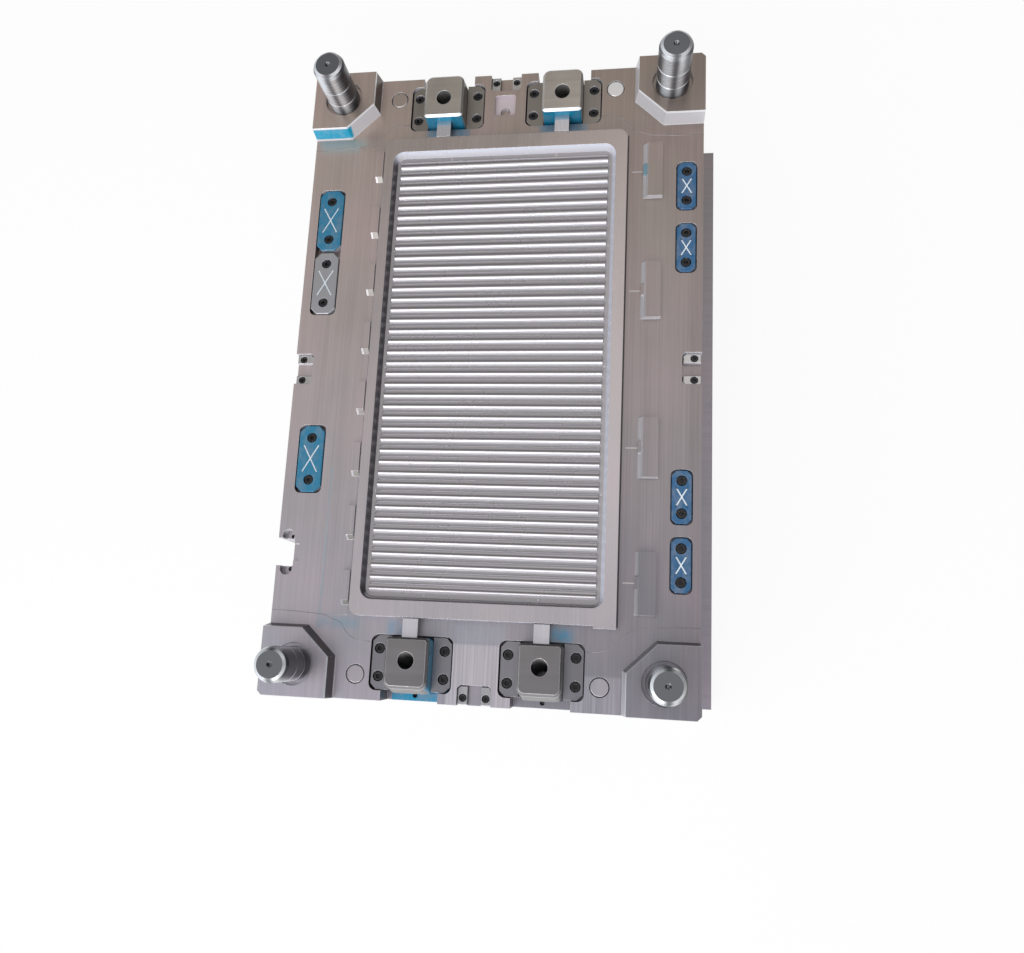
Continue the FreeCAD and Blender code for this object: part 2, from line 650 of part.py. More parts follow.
def slide_ways(body):
    """Gib pockets, slide ways open to the edge, wear plate seats and the bores under the slides."""
    gibs = new_sketch(body, "gib_pockets")
    ways = new_sketch(body, "way_outlines")
    seats = new_sketch(body, "wear_seats", lift=-S.slide_floor)
    bores = new_sketch(body, "escape_bores", lift=-S.slide_floor)
    threads = new_sketch(body, "gib_threads", lift=-S.gib_floor)
    for sx, sy in CORNERS.values():
        line = slide_line(sx)
        low, high = sorted((sy * S.gib_pocket_low, sy * S.gib_pocket_high), key=lambda size: size.number)
        rounded(gibs, line - S.gib_pocket_half, line + S.gib_pocket_half, low, high, S.gib_pocket_corner)
        low, high = sorted((sy * S.gib_pocket_low, sy * (HALF_LENGTH + 1)), key=lambda size: size.number)
        rectangle(ways, line - S.way_width / 2, line + S.way_width / 2, low, high)
        low, high = sorted((sy * S.slide_front, sy * (S.slide_back - S.wear_plate_short)), key=lambda size: size.number)
        rectangle(seats, line - S.slide_width / 2, line + S.slide_width / 2, low, high)
        circle(bores, line, sy * escape_bore_y(), S.pin_escape)
        circle(bores, line, sy * S.way_hole_y, S.way_hole)
        for x, y in gib_screw_spots():
            circle(threads, line + x, sy * y, S.small_screw + 2 * S.fit_gap)
    hollow(body, "gib_seats", gibs, S.gib_floor)
    hollow(body, "ways", ways, S.slide_floor)
    hollow(body, "wear_plate_seats", seats, S.wear_plate_thick)
    hollow(body, "pin_escape_bores", bores, S.wear_plate_thick + S.escape_depth)
    hollow(body, "gib_screw_holes", threads, S.small_grip + S.thread_spare)


def escape_bore_y():
    """Where the leaning angle pin passes the way floor."""
    return S.angle_bore_y + (S.slide_rise + S.slide_floor + S.wear_plate_thick) * tangent(S.heel_lean)


def gib_middle():
    return (S.gib_pocket_low + S.gib_pocket_high) / 2


def gib_screw_spots():
    return [(sx * S.gib_screw_x, gib_middle() + sy * S.gib_screw_pitch / 2)
            for sx in SIDES.values() for sy in ENDS.values()]


def blocks():
    """Each balance block: name, centre, width, length and screw spacing."""
    for name, (x, y) in WIDE_BLOCKS.items():
        yield name, x, y, S.wide_block_width, S.wide_block_length, S.wide_block_pitch
    for name, (x, y) in SLIM_BLOCKS.items():
        yield name, x, y, S.slim_block_width, S.slim_block_length, S.slim_block_pitch


def block_pockets(body):
    """Seats for the balance blocks; the two upper blocks on the left share one."""
    seats = new_sketch(body, "block_seats")
    threads = new_sketch(body, "block_threads", lift=S.block_proud - S.block_thick)
    spans = []
    for name, x, y, width, length, pitch in blocks():
        spans.append([x - width / 2, x + width / 2, y - length / 2, y + length / 2])
        for sy in ENDS.values():
            circle(threads, x, y + sy * pitch / 2, S.small_screw + 2 * S.fit_gap)
    upper, lower = spans[0], spans.pop(1)
    upper[2] = lower[2]
    for x_low, x_high, y_low, y_high in spans:
        gap = S.block_gap
        rounded(seats, x_low - gap, x_high + gap, y_low - gap, y_high + gap, S.block_cut)
    hollow(body, "block_pockets", seats, S.block_thick - S.block_proud)
    hollow(body, "block_screw_holes", threads, S.small_grip + S.thread_spare)


def lock_frames():
    """Each side lock's name, turn about Z, and distance of its plate edge from the mould centre."""
    return [("right", 0, HALF_WIDTH), ("top", 90, HALF_LENGTH), ("left", 180, HALF_WIDTH),
            ("bottom", 270, HALF_LENGTH)]


def turned(turn, along, across):
    """A spot given along and across an outward direction, for quarter turns."""
    spots = {0: (along, across), 90: (-across, along), 180: (-along, -across), 270: (across, -along)}
    return spots[turn]


def lock_pockets(body):
    """Side lock seats at the middle of each edge: two plate seats and the slot between them."""
    seats = new_sketch(body, "lock_seats")
    slots = new_sketch(body, "lock_slots")
    threads = new_sketch(body, "lock_threads", lift=-S.lock_drop - S.lock_thick)
    for name, turn, reach in lock_frames():
        inner = reach - S.lock_depth - S.block_gap
        for side in (-1, 1):
            spots = [turned(turn, inner, side * (S.lock_inner - S.fit_gap)),
                     turned(turn, inner, side * (S.lock_outer - S.lock_cut)),
                     turned(turn, inner + S.lock_cut, side * (S.lock_outer + S.fit_gap)),
                     turned(turn, reach + 1, side * (S.lock_outer + S.fit_gap)),
                     turned(turn, reach + 1, side * (S.lock_inner - S.fit_gap))]
            polygon(seats, spots)
            spot = turned(turn, reach - S.lock_screw_in, side * S.lock_screw_x)
            circle(threads, *spot, S.lock_screw + 2 * S.fit_gap)
        edge = S.lock_inner
        polygon(slots, [turned(turn, inner, -edge), turned(turn, reach + 1, -edge),
                        turned(turn, reach + 1, edge), turned(turn, inner, edge)])
    hollow(body, "lock_plate_seats", seats, S.lock_drop + S.lock_thick)
    hollow(body, "lock_slot_floors", slots, S.lock_slot)
    hollow(body, "lock_screw_holes", threads, S.lock_grip + S.thread_spare)


def edge_features(body):
    """The recess at the top middle, the notch in the left edge and the two lifting threads."""
    recess = new_sketch(body, "port_outline")
    rounded(recess, -S.port_width / 2, S.port_width / 2, S.port_low, S.port_high, S.gib_corner / 2)
    hollow(body, "port_recess", recess, S.port_depth)
    hole = new_sketch(body, "port_hole_outline")
    circle(hole, 0, S.port_low + S.port_hole * 0.6, S.port_hole)
    hollow(body, "port_hole", hole, 2 * S.port_depth)
    notch = new_sketch(body, "notch_outline")
    rectangle(notch, -HALF_WIDTH - 1, S.notch_reach - HALF_WIDTH, -S.notch_low, -S.notch_high)
    hollow(body, "notch", notch, S.notch_depth)
    ledge = new_sketch(body, "ledge_outline")
    rectangle(ledge, S.notch_reach - HALF_WIDTH - 1, 1.3 * S.notch_reach - HALF_WIDTH,
              8 - S.notch_low, -S.notch_high - 8)
    hollow(body, "notch_ledge", ledge, S.notch_bore_depth / 2)
    bores = new_sketch(body, "notch_bores")
    holes = new_sketch(body, "notch_holes")
    for y in (4 - S.notch_high, -S.notch_low - 4):
        x = S.notch_reach * 0.6 - HALF_WIDTH
        circle(bores, x, y, S.notch_bore)
        circle(holes, x + S.notch_hole / 2, y, S.notch_hole)
    hollow(body, "notch_seats", bores, S.notch_bore_depth)
    hollow(body, "notch_screw_holes", holes, 3 * S.notch_bore_depth)
    for name, sy in ENDS.items():
        lift = new_sketch(body, f"eyebolt_{name}", "XZ_Plane", -sy * HALF_LENGTH)
        circle(lift, 0, S.eyebolt_height - PARTING, S.eyebolt_bore)
        hollow(body, f"eyebolt_thread_{name}", lift, S.eyebolt_depth, up=sy > 0)


def through_bores(body):
    """Bores for the guide, return and ejector pins, and what is screwed in from below."""
    guides = new_sketch(body, "guide_bores", lift=S.boss_rise)
    reliefs = new_sketch(body, "guide_reliefs", lift=S.boss_rise)
    returns = new_sketch(body, "return_bores")
    for (gx, gy), (rx, ry) in zip(four(S.guide_x, S.guide_y), four(S.return_x, S.return_y)):
        circle(guides, gx, gy, S.guide_diameter + 2 * S.fit_gap)
        circle(reliefs, gx, gy, S.guide_relief)
        circle(returns, rx, ry, S.return_hole)
    hollow(body, "guide_pin_bores", guides, S.boss_rise + S.plate_thick)
    hollow(body, "guide_pin_reliefs", reliefs, S.guide_relief_depth)
    hollow(body, "return_pin_bores", returns, S.plate_thick)
    knocks = new_sketch(body, "knock_bores", lift=-S.insert_seat)
    for x, y in KNOCKS:
        circle(knocks, x, y, S.knock_bore)
    hollow(body, "ejector_pin_bores", knocks, S.plate_thick - S.insert_seat)
    below = -S.plate_thick
    seats = [("guide_head_seats", four(S.guide_x, S.guide_y), S.guide_head + 2 * S.fit_gap, S.guide_head_thick),
             ("spring_seats", four(S.return_x, S.return_y), S.spring_pocket, S.spring_sunk),
             ("stack_threads", STACK_SCREWS, S.large_screw + 2 * S.fit_gap, S.large_grip + S.thread_spare),
             ("dowel_bores", DOWELS, S.dowel_diameter + 2 * S.fit_gap, S.dowel_grip + S.thread_spare),
             ("insert_screw_bores", INSERT_SCREWS, S.mid_screw + 2 * S.screw_play, S.plate_thick - S.insert_seat),
             ("insert_head_seats", INSERT_SCREWS, S.mid_bore, S.mid_head_thick + S.head_sink),
             ("limit_bores", four(S.limit_x, S.limit_y), S.limit_spigot + 2 * S.fit_gap, S.limit_spigot + S.thread_spare),
             ("ejector_guide_bores", four(S.ejector_guide_x, S.ejector_guide_y),
              S.ejector_guide + 2 * S.fit_gap, S.retainer_thick + S.thread_spare)]
    for name, spots, diameter, depth in seats:
        sketch = new_sketch(body, f"{name}_outline", lift=below)
        for x, y in spots:
            circle(sketch, x, y, diameter)
        hollow(body, name, sketch, depth, up=True)


def core_insert():
    """The ribbed tray insert, zero height at the parting face."""
    body = new_body("core_insert")
    outline = new_sketch(body, "insert_outline", lift=-S.insert_seat)
    rounded(outline, -S.insert_left, S.insert_right, -S.insert_half, S.insert_half, S.insert_corner)
    pad(body, "insert_block", outline, S.insert_seat + S.insert_rise)
    foot = new_sketch(body, "foot_outline", lift=-S.insert_seat)
    rectangle(foot, S.insert_right - S.foot_width, S.insert_right,
              -S.insert_half - S.foot_reach, 2 * S.insert_corner - S.insert_half)
    pad(body, "foot", foot, S.insert_seat + S.insert_rise)
    opening = new_sketch(body, "tray_opening", lift=S.insert_rise)
    rounded(opening, S.tray_shift - S.tray_width / 2, S.tray_shift + S.tray_width / 2,
            -S.tray_length / 2, S.tray_length / 2, S.tray_corner)
    pocket(body, "tray", opening, S.tray_depth, taper=-S.tray_draft)
    rib = rib_profile(body)
    ribs = body.newObject("PartDesign::LinearPattern", "ribs")
    ribs.Originals = [rib]
    support = next(f for f in body.Origin.OriginFeatures if f.Role == "Y_Axis")
    ribs.Direction = (support, [""])
    bind(ribs, Length=(S.rib_count - 1) * S.rib_pitch, Occurrences=S.rib_count)
    body.Tip = ribs
    DOC.recompute()
    pins = new_sketch(body, "pin_holes", lift=S.insert_rise)
    for x, y in KNOCKS:
        circle(pins, x, y, S.knock_diameter + 2 * S.slide_gap)
    pocket(body, "ejector_pin_holes", pins, S.insert_seat + S.insert_rise)
    threads = new_sketch(body, "insert_threads", lift=-S.insert_seat)
    for x, y in INSERT_SCREWS:
        circle(threads, x, y, S.mid_screw + 2 * S.fit_gap)
    pocket(body, "insert_screw_holes", threads, S.mid_grip + S.thread_spare, up=True)
    place(body, z=PARTING)
    return node(body, "core_insert")


def rib_profile(body):
    """The first rib: a round-topped bar whose crest is an arc over its foot."""
    radius = (S.rib_width * S.rib_width / 4 + S.rib_height * S.rib_height) / (2 * S.rib_height)
    middle = -(S.rib_count - 1) * S.rib_pitch / 2
    sunk = TRAY_FLOOR - 1
    sketch = new_sketch(body, "rib_profile", "YZ_Plane", S.tray_shift)
    low, high = middle - S.rib_width / 2, middle + S.rib_width / 2
    left = Vector(low.number, TRAY_FLOOR.number, 0)
    right = Vector(high.number, TRAY_FLOOR.number, 0)
    crest = Vector(middle.number, (TRAY_FLOOR + S.rib_height).number, 0)
    arc = sketch.addGeometry(Part.Arc(right, crest, left))
    corners = [left, Vector(low.number, sunk.number, 0), Vector(high.number, sunk.number, 0), right]
    lines = [sketch.addGeometry(Part.LineSegment(a, b)) for a, b in zip(corners, corners[1:])]
    sketch.addConstraint(Sketcher.Constraint("Coincident", arc, 2, lines[0], 1))
    sketch.addConstraint(Sketcher.Constraint("Coincident", lines[0], 2, lines[1], 1))
    sketch.addConstraint(Sketcher.Constraint("Coincident", lines[1], 2, lines[2], 1))
    sketch.addConstraint(Sketcher.Constraint("Coincident", lines[2], 2, arc, 1))
    pin_point(sketch, lines[0], 1, low, TRAY_FLOOR)
    pin_point(sketch, lines[1], 1, low, sunk)
    pin_point(sketch, lines[2], 1, high, sunk)
    pin_point(sketch, lines[2], 2, high, TRAY_FLOOR)
    index = sketch.addConstraint(Sketcher.Constraint("Radius", arc, radius.number))
    sketch.renameConstraint(index, "crest")
    sketch.setExpression("Constraints.crest", radius.text)
    return pad(body, "rib", sketch, S.rib_length, both_ways=True)


def drilled_plate(name, width, length, thick, holes, height):
    """A plain plate with rows of bores: each row has spots, diameter, start height and depth."""
    body = new_body(name)
    outline = new_sketch(body, f"{name}_outline")
    rectangle(outline, -width / 2, width / 2, -length / 2, length / 2)
    pad(body, f"{name}_block", outline, thick)
    for row, spots, diameter, start, depth in holes:
        sketch = new_sketch(body, f"{name}_{row}_outline", lift=start)
        for x, y in spots:
            circle(sketch, x, y, diameter)
        pocket(body, f"{name}_{row}", sketch, depth, up=True)
    place(body, z=height)
    return node(body, name)


def plates():
    """Clamp plate, ejector plates and spacer blocks."""
    gap = 2 * S.fit_gap
    guides = four(S.ejector_guide_x, S.ejector_guide_y)
    returns = four(S.return_x, S.return_y)
    drilled_plate("clamp_plate", S.clamp_width, S.plate_length, S.clamp_thick, [
        ("rod_bore", [(0, 0)], S.rod_bore, 0, S.clamp_thick),
        ("stack_holes", STACK_SCREWS, S.large_screw + 2 * S.screw_play, 0, S.clamp_thick),
        ("stack_seats", STACK_SCREWS, S.large_bore, 0, S.large_head_thick + S.head_sink),
        ("dowel_holes", DOWELS, S.dowel_diameter + gap, 0, S.clamp_thick),
        ("pillar_holes", PILLARS, S.mid_screw + 2 * S.screw_play, 0, S.clamp_thick),
        ("pillar_seats", PILLARS, S.mid_bore, 0, S.mid_head_thick + S.head_sink),
        ("guide_holes", guides, S.ejector_guide + gap, 0, S.clamp_thick),
        ("guide_seats", guides, S.return_head + gap, 0, S.return_head_thick),
    ], 0)
    drilled_plate("ejector_plate", S.ejector_width, S.ejector_length, S.ejector_thick, [
        ("pillar_holes", PILLARS, S.pillar_diameter + 2 * S.pillar_gap, 0, S.ejector_thick),
        ("screw_holes", EJECTOR_SCREWS, S.small_screw + 2 * S.screw_play, 0, S.ejector_thick),
        ("screw_seats", EJECTOR_SCREWS, S.small_bore, 0, S.small_head_thick + S.head_sink),
        ("bush_holes", guides, S.bush_diameter + gap, 0, S.ejector_thick),
    ], EJECTOR_LOW)
    drilled_plate("ejector_retainer_plate", S.ejector_width, S.ejector_length, S.retainer_thick, [
        ("pillar_holes", PILLARS, S.pillar_diameter + 2 * S.pillar_gap, 0, S.retainer_thick),
        ("screw_holes", EJECTOR_SCREWS, S.small_screw + gap, 0, S.small_grip + S.thread_spare),
        ("bush_holes", guides, S.bush_diameter + gap, 0, S.retainer_thick),
        ("bush_seats", guides, S.bush_flange + gap, 0, S.bush_flange_thick),
        ("return_holes", returns, S.return_diameter + gap, 0, S.retainer_thick),
        ("return_seats", returns, S.return_head + gap, 0, S.return_head_thick),
        ("knock_holes", KNOCKS, S.knock_bore, 0, S.retainer_thick),
        ("knock_seats", KNOCKS, S.knock_head + gap, 0, S.knock_head_thick),
    ], RETAINER_LOW)
    for name, side in SIDES.items():
        x = side * (HALF_WIDTH - S.spacer_width / 2)
        rows = [("stack_holes", STACK_SCREWS, S.large_screw + 1), ("dowel_holes", DOWELS, S.dowel_diameter + gap)]
        holes = [(row, [(spot_x - x, spot_y) for spot_x, spot_y in spots if spot_x.number * side > 0],
                  diameter, 0, S.spacer_height) for row, spots, diameter in rows]
        body = drilled_plate(f"spacer_block_{name}", S.spacer_width, S.plate_length, S.spacer_height, holes,
                             STACK_LOW)
        place(body, x=x, z=STACK_LOW)


# ---------------------------------------------------------------- pins, pillars and springs

def guide_pins():
    """Four guide pins, zero height at the parting face, with a head, oil grooves and a drilled lead end."""
    radius = S.guide_diameter / 2
    groove = radius - S.oil_groove
    top = S.guide_rise
    low = -S.plate_thick
    profile = [(0, low), (S.guide_head / 2, low), (S.guide_head / 2, low + S.guide_head_thick),
               (radius, low + S.guide_head_thick)]
    for share in (0.36, 0.62):
        height = share * top
        profile += [(radius, height), (groove, height + S.oil_groove), (groove, height + 2 * S.oil_groove),
                    (radius, height + 3 * S.oil_groove)]
    profile += [(radius, top - S.guide_lead), (radius - S.guide_lead / 3, top - S.guide_lead / 3),
                (S.guide_nose / 2, top), (4, top), (2, top - 5), (0, top - 5)]
    for corner, (sx, sy) in CORNERS.items():
        body = new_body(f"guide_pin_{corner}")
        revolve(body, f"guide_pin_{corner}_turned", profile)
        node(place(body, sx * S.guide_x, sy * S.guide_y, PARTING), f"guide_pin_{corner}")


def pins_and_posts():
    """The ejector assembly's pins and bushes, and the posts of the fixed stack."""
    length = PARTING - RETAINER_LOW
    shank = S.return_diameter / 2
    return_pin = new_body("return_pin")
    revolve(return_pin, "return_pin_turned", [
        (0, 0), (S.return_head / 2, 0), (S.return_head / 2, S.return_head_thick), (shank, S.return_head_thick),
        (shank, length - 1), (shank - 1, length), (0, length)])
    group("return_pins", return_pin, [(x, y, RETAINER_LOW) for x, y in four(S.return_x, S.return_y)])

    length = PARTING + TRAY_FLOOR - RETAINER_LOW
    knock = new_body("ejector_pin")
    revolve(knock, "ejector_pin_turned", [
        (0, 0), (S.knock_head / 2, 0), (S.knock_head / 2, S.knock_head_thick),
        (S.knock_diameter / 2, S.knock_head_thick), (S.knock_diameter / 2, length), (0, length)])
    group("ejector_pins", knock, [(x, y, RETAINER_LOW) for x, y in KNOCKS])

    bush = new_body("ejector_bush")
    bore = S.ejector_guide / 2 + S.slide_gap
    outer, flange = S.bush_diameter / 2, S.bush_flange / 2
    low, high = S.ejector_thick, S.ejector_thick + S.bush_flange_thick
    revolve(bush, "ejector_bush_turned", [
        (bore, 0), (outer, 0), (outer, low), (flange, low), (flange, high), (outer, high),
        (outer, S.ejector_thick + S.retainer_thick), (bore, S.ejector_thick + S.retainer_thick)])
    group("ejector_bushes", bush, [(x, y, EJECTOR_LOW) for x, y in four(S.ejector_guide_x, S.ejector_guide_y)])

    guide = new_body("ejector_guide_pin")
    radius = S.ejector_guide / 2
    top = STACK_TOP + S.retainer_thick
    revolve(guide, "ejector_guide_pin_turned", [
        (0, 0), (S.return_head / 2, 0), (S.return_head / 2, S.return_head_thick), (radius, S.return_head_thick),
        (radius, top - 1), (radius - 1, top), (0, top)])
    group("ejector_guide_pins", guide, [(x, y, 0) for x, y in four(S.ejector_guide_x, S.ejector_guide_y)])

    pillar = new_body("support_pillar")
    radius, hole = S.pillar_diameter / 2, S.mid_screw / 2 + S.fit_gap
    depth = S.mid_grip + S.thread_spare
    revolve(pillar, "support_pillar_turned", [
        (hole, 0), (radius - 1, 0), (radius, 1), (radius, S.spacer_height - 1), (radius - 1, S.spacer_height),
        (0, S.spacer_height), (0, depth), (hole, depth)])
    group("support_pillars", pillar, [(x, y, STACK_LOW) for x, y in PILLARS])

    dowel = new_body("stack_dowel")
    length = STACK_TOP + S.dowel_grip - 1
    radius = S.dowel_diameter / 2
    revolve(dowel, "stack_dowel_turned", [(0, 0), (radius - 1, 0), (radius, 1), (radius, length - 1),
                                          (radius - 1, length), (0, length)])
    group("stack_dowels", dowel, [(x, y, 1) for x, y in DOWELS])

    button = new_body("stop_button")
    radius = S.stop_button / 2
    revolve(button, "stop_button_turned", [(0, 0), (radius, 0), (radius, S.stop_thick - 1),
                                           (radius - 1, S.stop_thick), (0, S.stop_thick)])
    group("stop_buttons", button, [(x, y, STACK_LOW) for x, y in STOP_BUTTONS])

    post = new_body("stroke_limit_post")
    radius, spigot = S.limit_diameter / 2, S.limit_spigot / 2
    hang = STACK_TOP - RETAINER_TOP - S.ejector_stroke
    revolve(post, "stroke_limit_post_turned", [
        (0, -hang), (radius - 1, -hang), (radius, 1 - hang), (radius, 0), (spigot, 0),
        (spigot, S.limit_spigot), (0, S.limit_spigot)])
    group("stroke_limit_posts", post, [(x, y, STACK_TOP) for x, y in four(S.limit_x, S.limit_y)])


def return_springs():
    """Die springs of flat wire round the return pins, from the retainer plate into the B plate."""
    body = new_body("return_spring")
    length = STACK_TOP + S.spring_sunk - RETAINER_TOP
    profile = new_sketch(body, "wire_section", "XZ_Plane")
    outer = S.spring_outer / 2
    rectangle(profile, outer - S.spring_wire_wide, outer, 0, S.spring_wire_tall)
    coil = body.newObject("PartDesign::AdditiveHelix", "coil")
    coil.Profile = profile
    coil.ReferenceAxis = (profile, ["V_Axis"])
    coil.Mode = "height-turns-angle"
    bind(coil, Height=length - S.spring_wire_tall, Turns=S.spring_turns)
    DOC.recompute()
    group("return_springs", body, [(x, y, RETAINER_TOP) for x, y in four(S.return_x, S.return_y)])


# ---------------------------------------------------------------- slide units

def slide_body(corner, sx, sy):
    """One slide: shoes, block, leaning heel and leaning bore; zero height at the parting face.

    Its own +Y points out of the mould, so the lower slides are turned by half a turn.
    """
    name = f"slide_body_{corner}"
    body = new_body(name)
    lean = tangent(S.heel_lean)
    side = new_sketch(body, f"{name}_side", "YZ_Plane")
    polygon(side, [(S.slide_front, -S.slide_floor), (S.slide_back, -S.slide_floor), (S.slide_back, 0),
                   (S.slide_back - S.slide_rise * lean, S.slide_rise), (S.slide_front, S.slide_rise)])
    block = pad(body, f"{name}_block", side, S.slide_width, both_ways=True)
    half = (S.slide_width / 2).number
    front = S.slide_front.number
    rounded_front = dress(body, "Fillet", f"{name}_front", block,
                          edges_where(block.Shape, lambda edge: upright(edge, half, front)), S.slide_front_round)
    heel = edges_where(rounded_front.Shape, lambda edge: leaning_edge(edge, half))
    rounded_heel = dress(body, "Fillet", f"{name}_heel", rounded_front, heel, S.slide_heel_round)
    top = [f"Face{i}" for i, face in enumerate(rounded_heel.Shape.Faces, 1)
           if abs(face.CenterOfMass.z - S.slide_rise.number) < 0.01]
    dress(body, "Chamfer", f"{name}_edge", rounded_heel, top, S.slide_edge)
    shoes = new_sketch(body, f"{name}_shoes", lift=-S.slide_floor)
    rectangle(shoes, -S.shoe_width / 2, S.shoe_width / 2, S.slide_front, S.slide_back - 2)
    pad(body, f"{name}_shoe", shoes, S.shoe_height - S.slide_gap)
    bore = body.newObject("PartDesign::SubtractiveCylinder", f"{name}_bore")
    bore.Placement = Placement(Vector(), Rotation(Vector(1, 0, 0), S.heel_lean.number))
    drop = S.slide_floor + 10
    bind(bore, Radius=S.angle_bore / 2, Height=2 * (S.slide_rise + S.slide_floor))
    bore.setExpression(".Placement.Rotation.Angle", f"{S.heel_lean.text}")
    bore.setExpression(".Placement.Base.y", (S.angle_bore_y + (S.slide_rise + drop) * lean).text)
    bore.setExpression(".Placement.Base.z", (-drop).text)
    DOC.recompute()
    seat = new_sketch(body, f"{name}_tongue_seat", lift=-S.tongue_seat)
    gap = S.fit_gap
    rectangle(seat, -S.tongue_width / 2 - gap, S.tongue_width / 2 + gap, S.slide_front - 1,
              S.slide_front + S.tongue_seat + gap)
    pocket(body, f"{name}_tongue_pocket", seat, S.tongue_rise + S.tongue_seat + gap, up=True)
    screw = new_sketch(body, f"{name}_screw_hole", lift=-S.slide_floor)
    circle(screw, 0, S.slide_front + S.tongue_seat / 2, S.core_screw + 2 * S.screw_play)
    pocket(body, f"{name}_screw_bore", screw, S.slide_floor - S.tongue_seat, up=True)
    head = new_sketch(body, f"{name}_screw_head", lift=-S.slide_floor)
    circle(head, 0, S.slide_front + S.tongue_seat / 2, S.core_bore)
    pocket(body, f"{name}_screw_seat", head, S.core_head_sink, up=True)
    slot = new_sketch(body, f"{name}_detent_slot", lift=-S.slide_floor)
    reach = S.detent_diameter / 2 + S.detent_room
    rectangle(slot, S.detent_x - reach, S.detent_x + reach, S.detent_y - S.slide_travel - reach, S.detent_y + reach)
    pocket(body, f"{name}_detent", slot, S.detent_slot, up=True)
    node(place(body, slide_line(sx), 0, PARTING, turn=0 if sy > 0 else 180), name)


def leaning_edge(edge, half):
    low, high = edge.Vertexes[0].Point, edge.Vertexes[-1].Point
    return (abs(low.z - high.z) > 5 and abs(low.y - high.y) > 2 and abs(abs(low.x) - half) < 0.02
            and abs(low.x - high.x) < 0.02)


def slide_core(corner, sx, sy):
    """The slide's bright core tongue, seated in the slide's front and reaching to the insert."""
    name = f"slide_core_{corner}"
    body = new_body(name)
    side = new_sketch(body, f"{name}_side", "YZ_Plane")
    back = S.slide_front + S.tongue_seat
    clear = S.slide_gap
    polygon(side, [(S.slide_front - S.tongue_reach, clear), (S.slide_front, clear), (S.slide_front, -S.tongue_seat),
                   (back, -S.tongue_seat), (back, S.tongue_rise), (S.slide_front - S.tongue_reach + 1, S.tongue_rise),
                   (S.slide_front - S.tongue_reach, S.tongue_rise - 1)])
    pad(body, f"{name}_bar", side, S.tongue_width, both_ways=True)
    thread = new_sketch(body, f"{name}_thread", lift=-S.tongue_seat)
    circle(thread, 0, S.slide_front + S.tongue_seat / 2, S.core_screw + 2 * S.fit_gap)
    pocket(body, f"{name}_hole", thread, S.core_grip + S.thread_spare, up=True)
    node(place(body, slide_line(sx), 0, PARTING, turn=0 if sy > 0 else 180), name)


def gib_pair(corner, sx, sy):
    """Two gibs that hold the slide's shoes down, each with a pair of counterbored screw holes."""
    name = f"gibs_{corner}"
    body = new_body(f"gib_{corner}")
    outline = new_sketch(body, f"gib_{corner}_outline", lift=-S.gib_floor)
    low, high = -S.gib_length / 2, S.gib_length / 2
    cut = S.gib_corner
    polygon(outline, [(0, low), (S.gib_width - cut, low), (S.gib_width, low + cut), (S.gib_width, high - cut),
                      (S.gib_width - cut, high), (0, high)])
    thick = S.gib_floor - S.gib_drop
    pad(body, f"gib_{corner}_bar", outline, thick)
    for kind, diameter, depth in (("hole", S.small_screw + 2 * S.screw_play, thick),
                                  ("seat", S.small_bore, S.small_head_thick + S.head_sink)):
        sketch = new_sketch(body, f"gib_{corner}_{kind}", lift=-S.gib_drop)
        for end in ENDS.values():
            circle(sketch, S.gib_screw_x - S.gib_inner, end * S.gib_screw_pitch / 2, diameter)
        pocket(body, f"gib_{corner}_{kind}_cut", sketch, depth)
    line = slide_line(sx)
    y = sy * gib_middle()
    group(name, body, [(line + S.gib_inner, y, PARTING, 0), (line - S.gib_inner, y, PARTING, 180)])


def slide_units():
    """All four slides with their cores, gibs, screws, wear plates and detents."""
    core_screw = cap_screw("core_screw", S.core_screw, S.core_head, S.core_head_thick,
                           S.slide_floor - S.tongue_seat - S.core_head_sink + S.core_grip)
    for corner, (sx, sy) in CORNERS.items():
        slide_body(corner, sx, sy)
        slide_core(corner, sx, sy)
        gib_pair(corner, sx, sy)
        flipped = DOC.addObject("App::Link", f"slide_core_screw_{corner}")
        flipped.LinkedObject = core_screw
        flipped.Placement = Placement(Vector(), Rotation(Vector(1, 0, 0), 180))
        for axis, size in zip("xyz", (slide_line(sx), sy * (S.slide_front + S.tongue_seat / 2),
                                      PARTING - S.slide_floor + S.core_head_sink)):
            flipped.setExpression(f".Placement.Base.{axis}", size.text)
        node(flipped, f"slide_core_screw_{corner}")

    wear = new_body("slide_wear_plate")
    outline = new_sketch(wear, "slide_wear_plate_outline")
    gap = S.fit_gap
    rectangle(outline, gap - S.slide_width / 2, S.slide_width / 2 - gap, S.slide_front + gap,
              S.slide_back - S.wear_plate_short - gap)
    pad(wear, "slide_wear_plate_bar", outline, S.wear_plate_thick, down=True)
    escape = new_sketch(wear, "slide_wear_plate_escape")
    circle(escape, 0, escape_bore_y(), S.pin_escape)
    pocket(wear, "slide_wear_plate_bore", escape, S.wear_plate_thick)
    ball = new_sketch(wear, "slide_wear_plate_detent")
    circle(ball, S.detent_x, S.detent_y, S.detent_diameter + 2 * gap)
    pocket(wear, "slide_wear_plate_detent_bore", ball, S.wear_plate_thick)
    spots = [(slide_line(sx), 0, PARTING - S.slide_floor, 0 if sy > 0 else 180) for sx, sy in CORNERS.values()]
    group("slide_wear_plates", wear, spots)

    detent = new_body("slide_detent")
    radius = S.detent_diameter / 2
    revolve(detent, "slide_detent_turned", [
        (0, -S.wear_plate_thick), (radius, -S.wear_plate_thick), (radius, S.detent_proud - radius),
        (radius * 0.6, S.detent_proud * 0.7), (0, S.detent_proud)])
    spots = [(slide_line(sx) + sy * S.detent_x, sy * S.detent_y, PARTING - S.slide_floor, 0)
             for sx, sy in CORNERS.values()]
    group("slide_detents", detent, spots)


# ---------------------------------------------------------------- blocks, locks and their screws

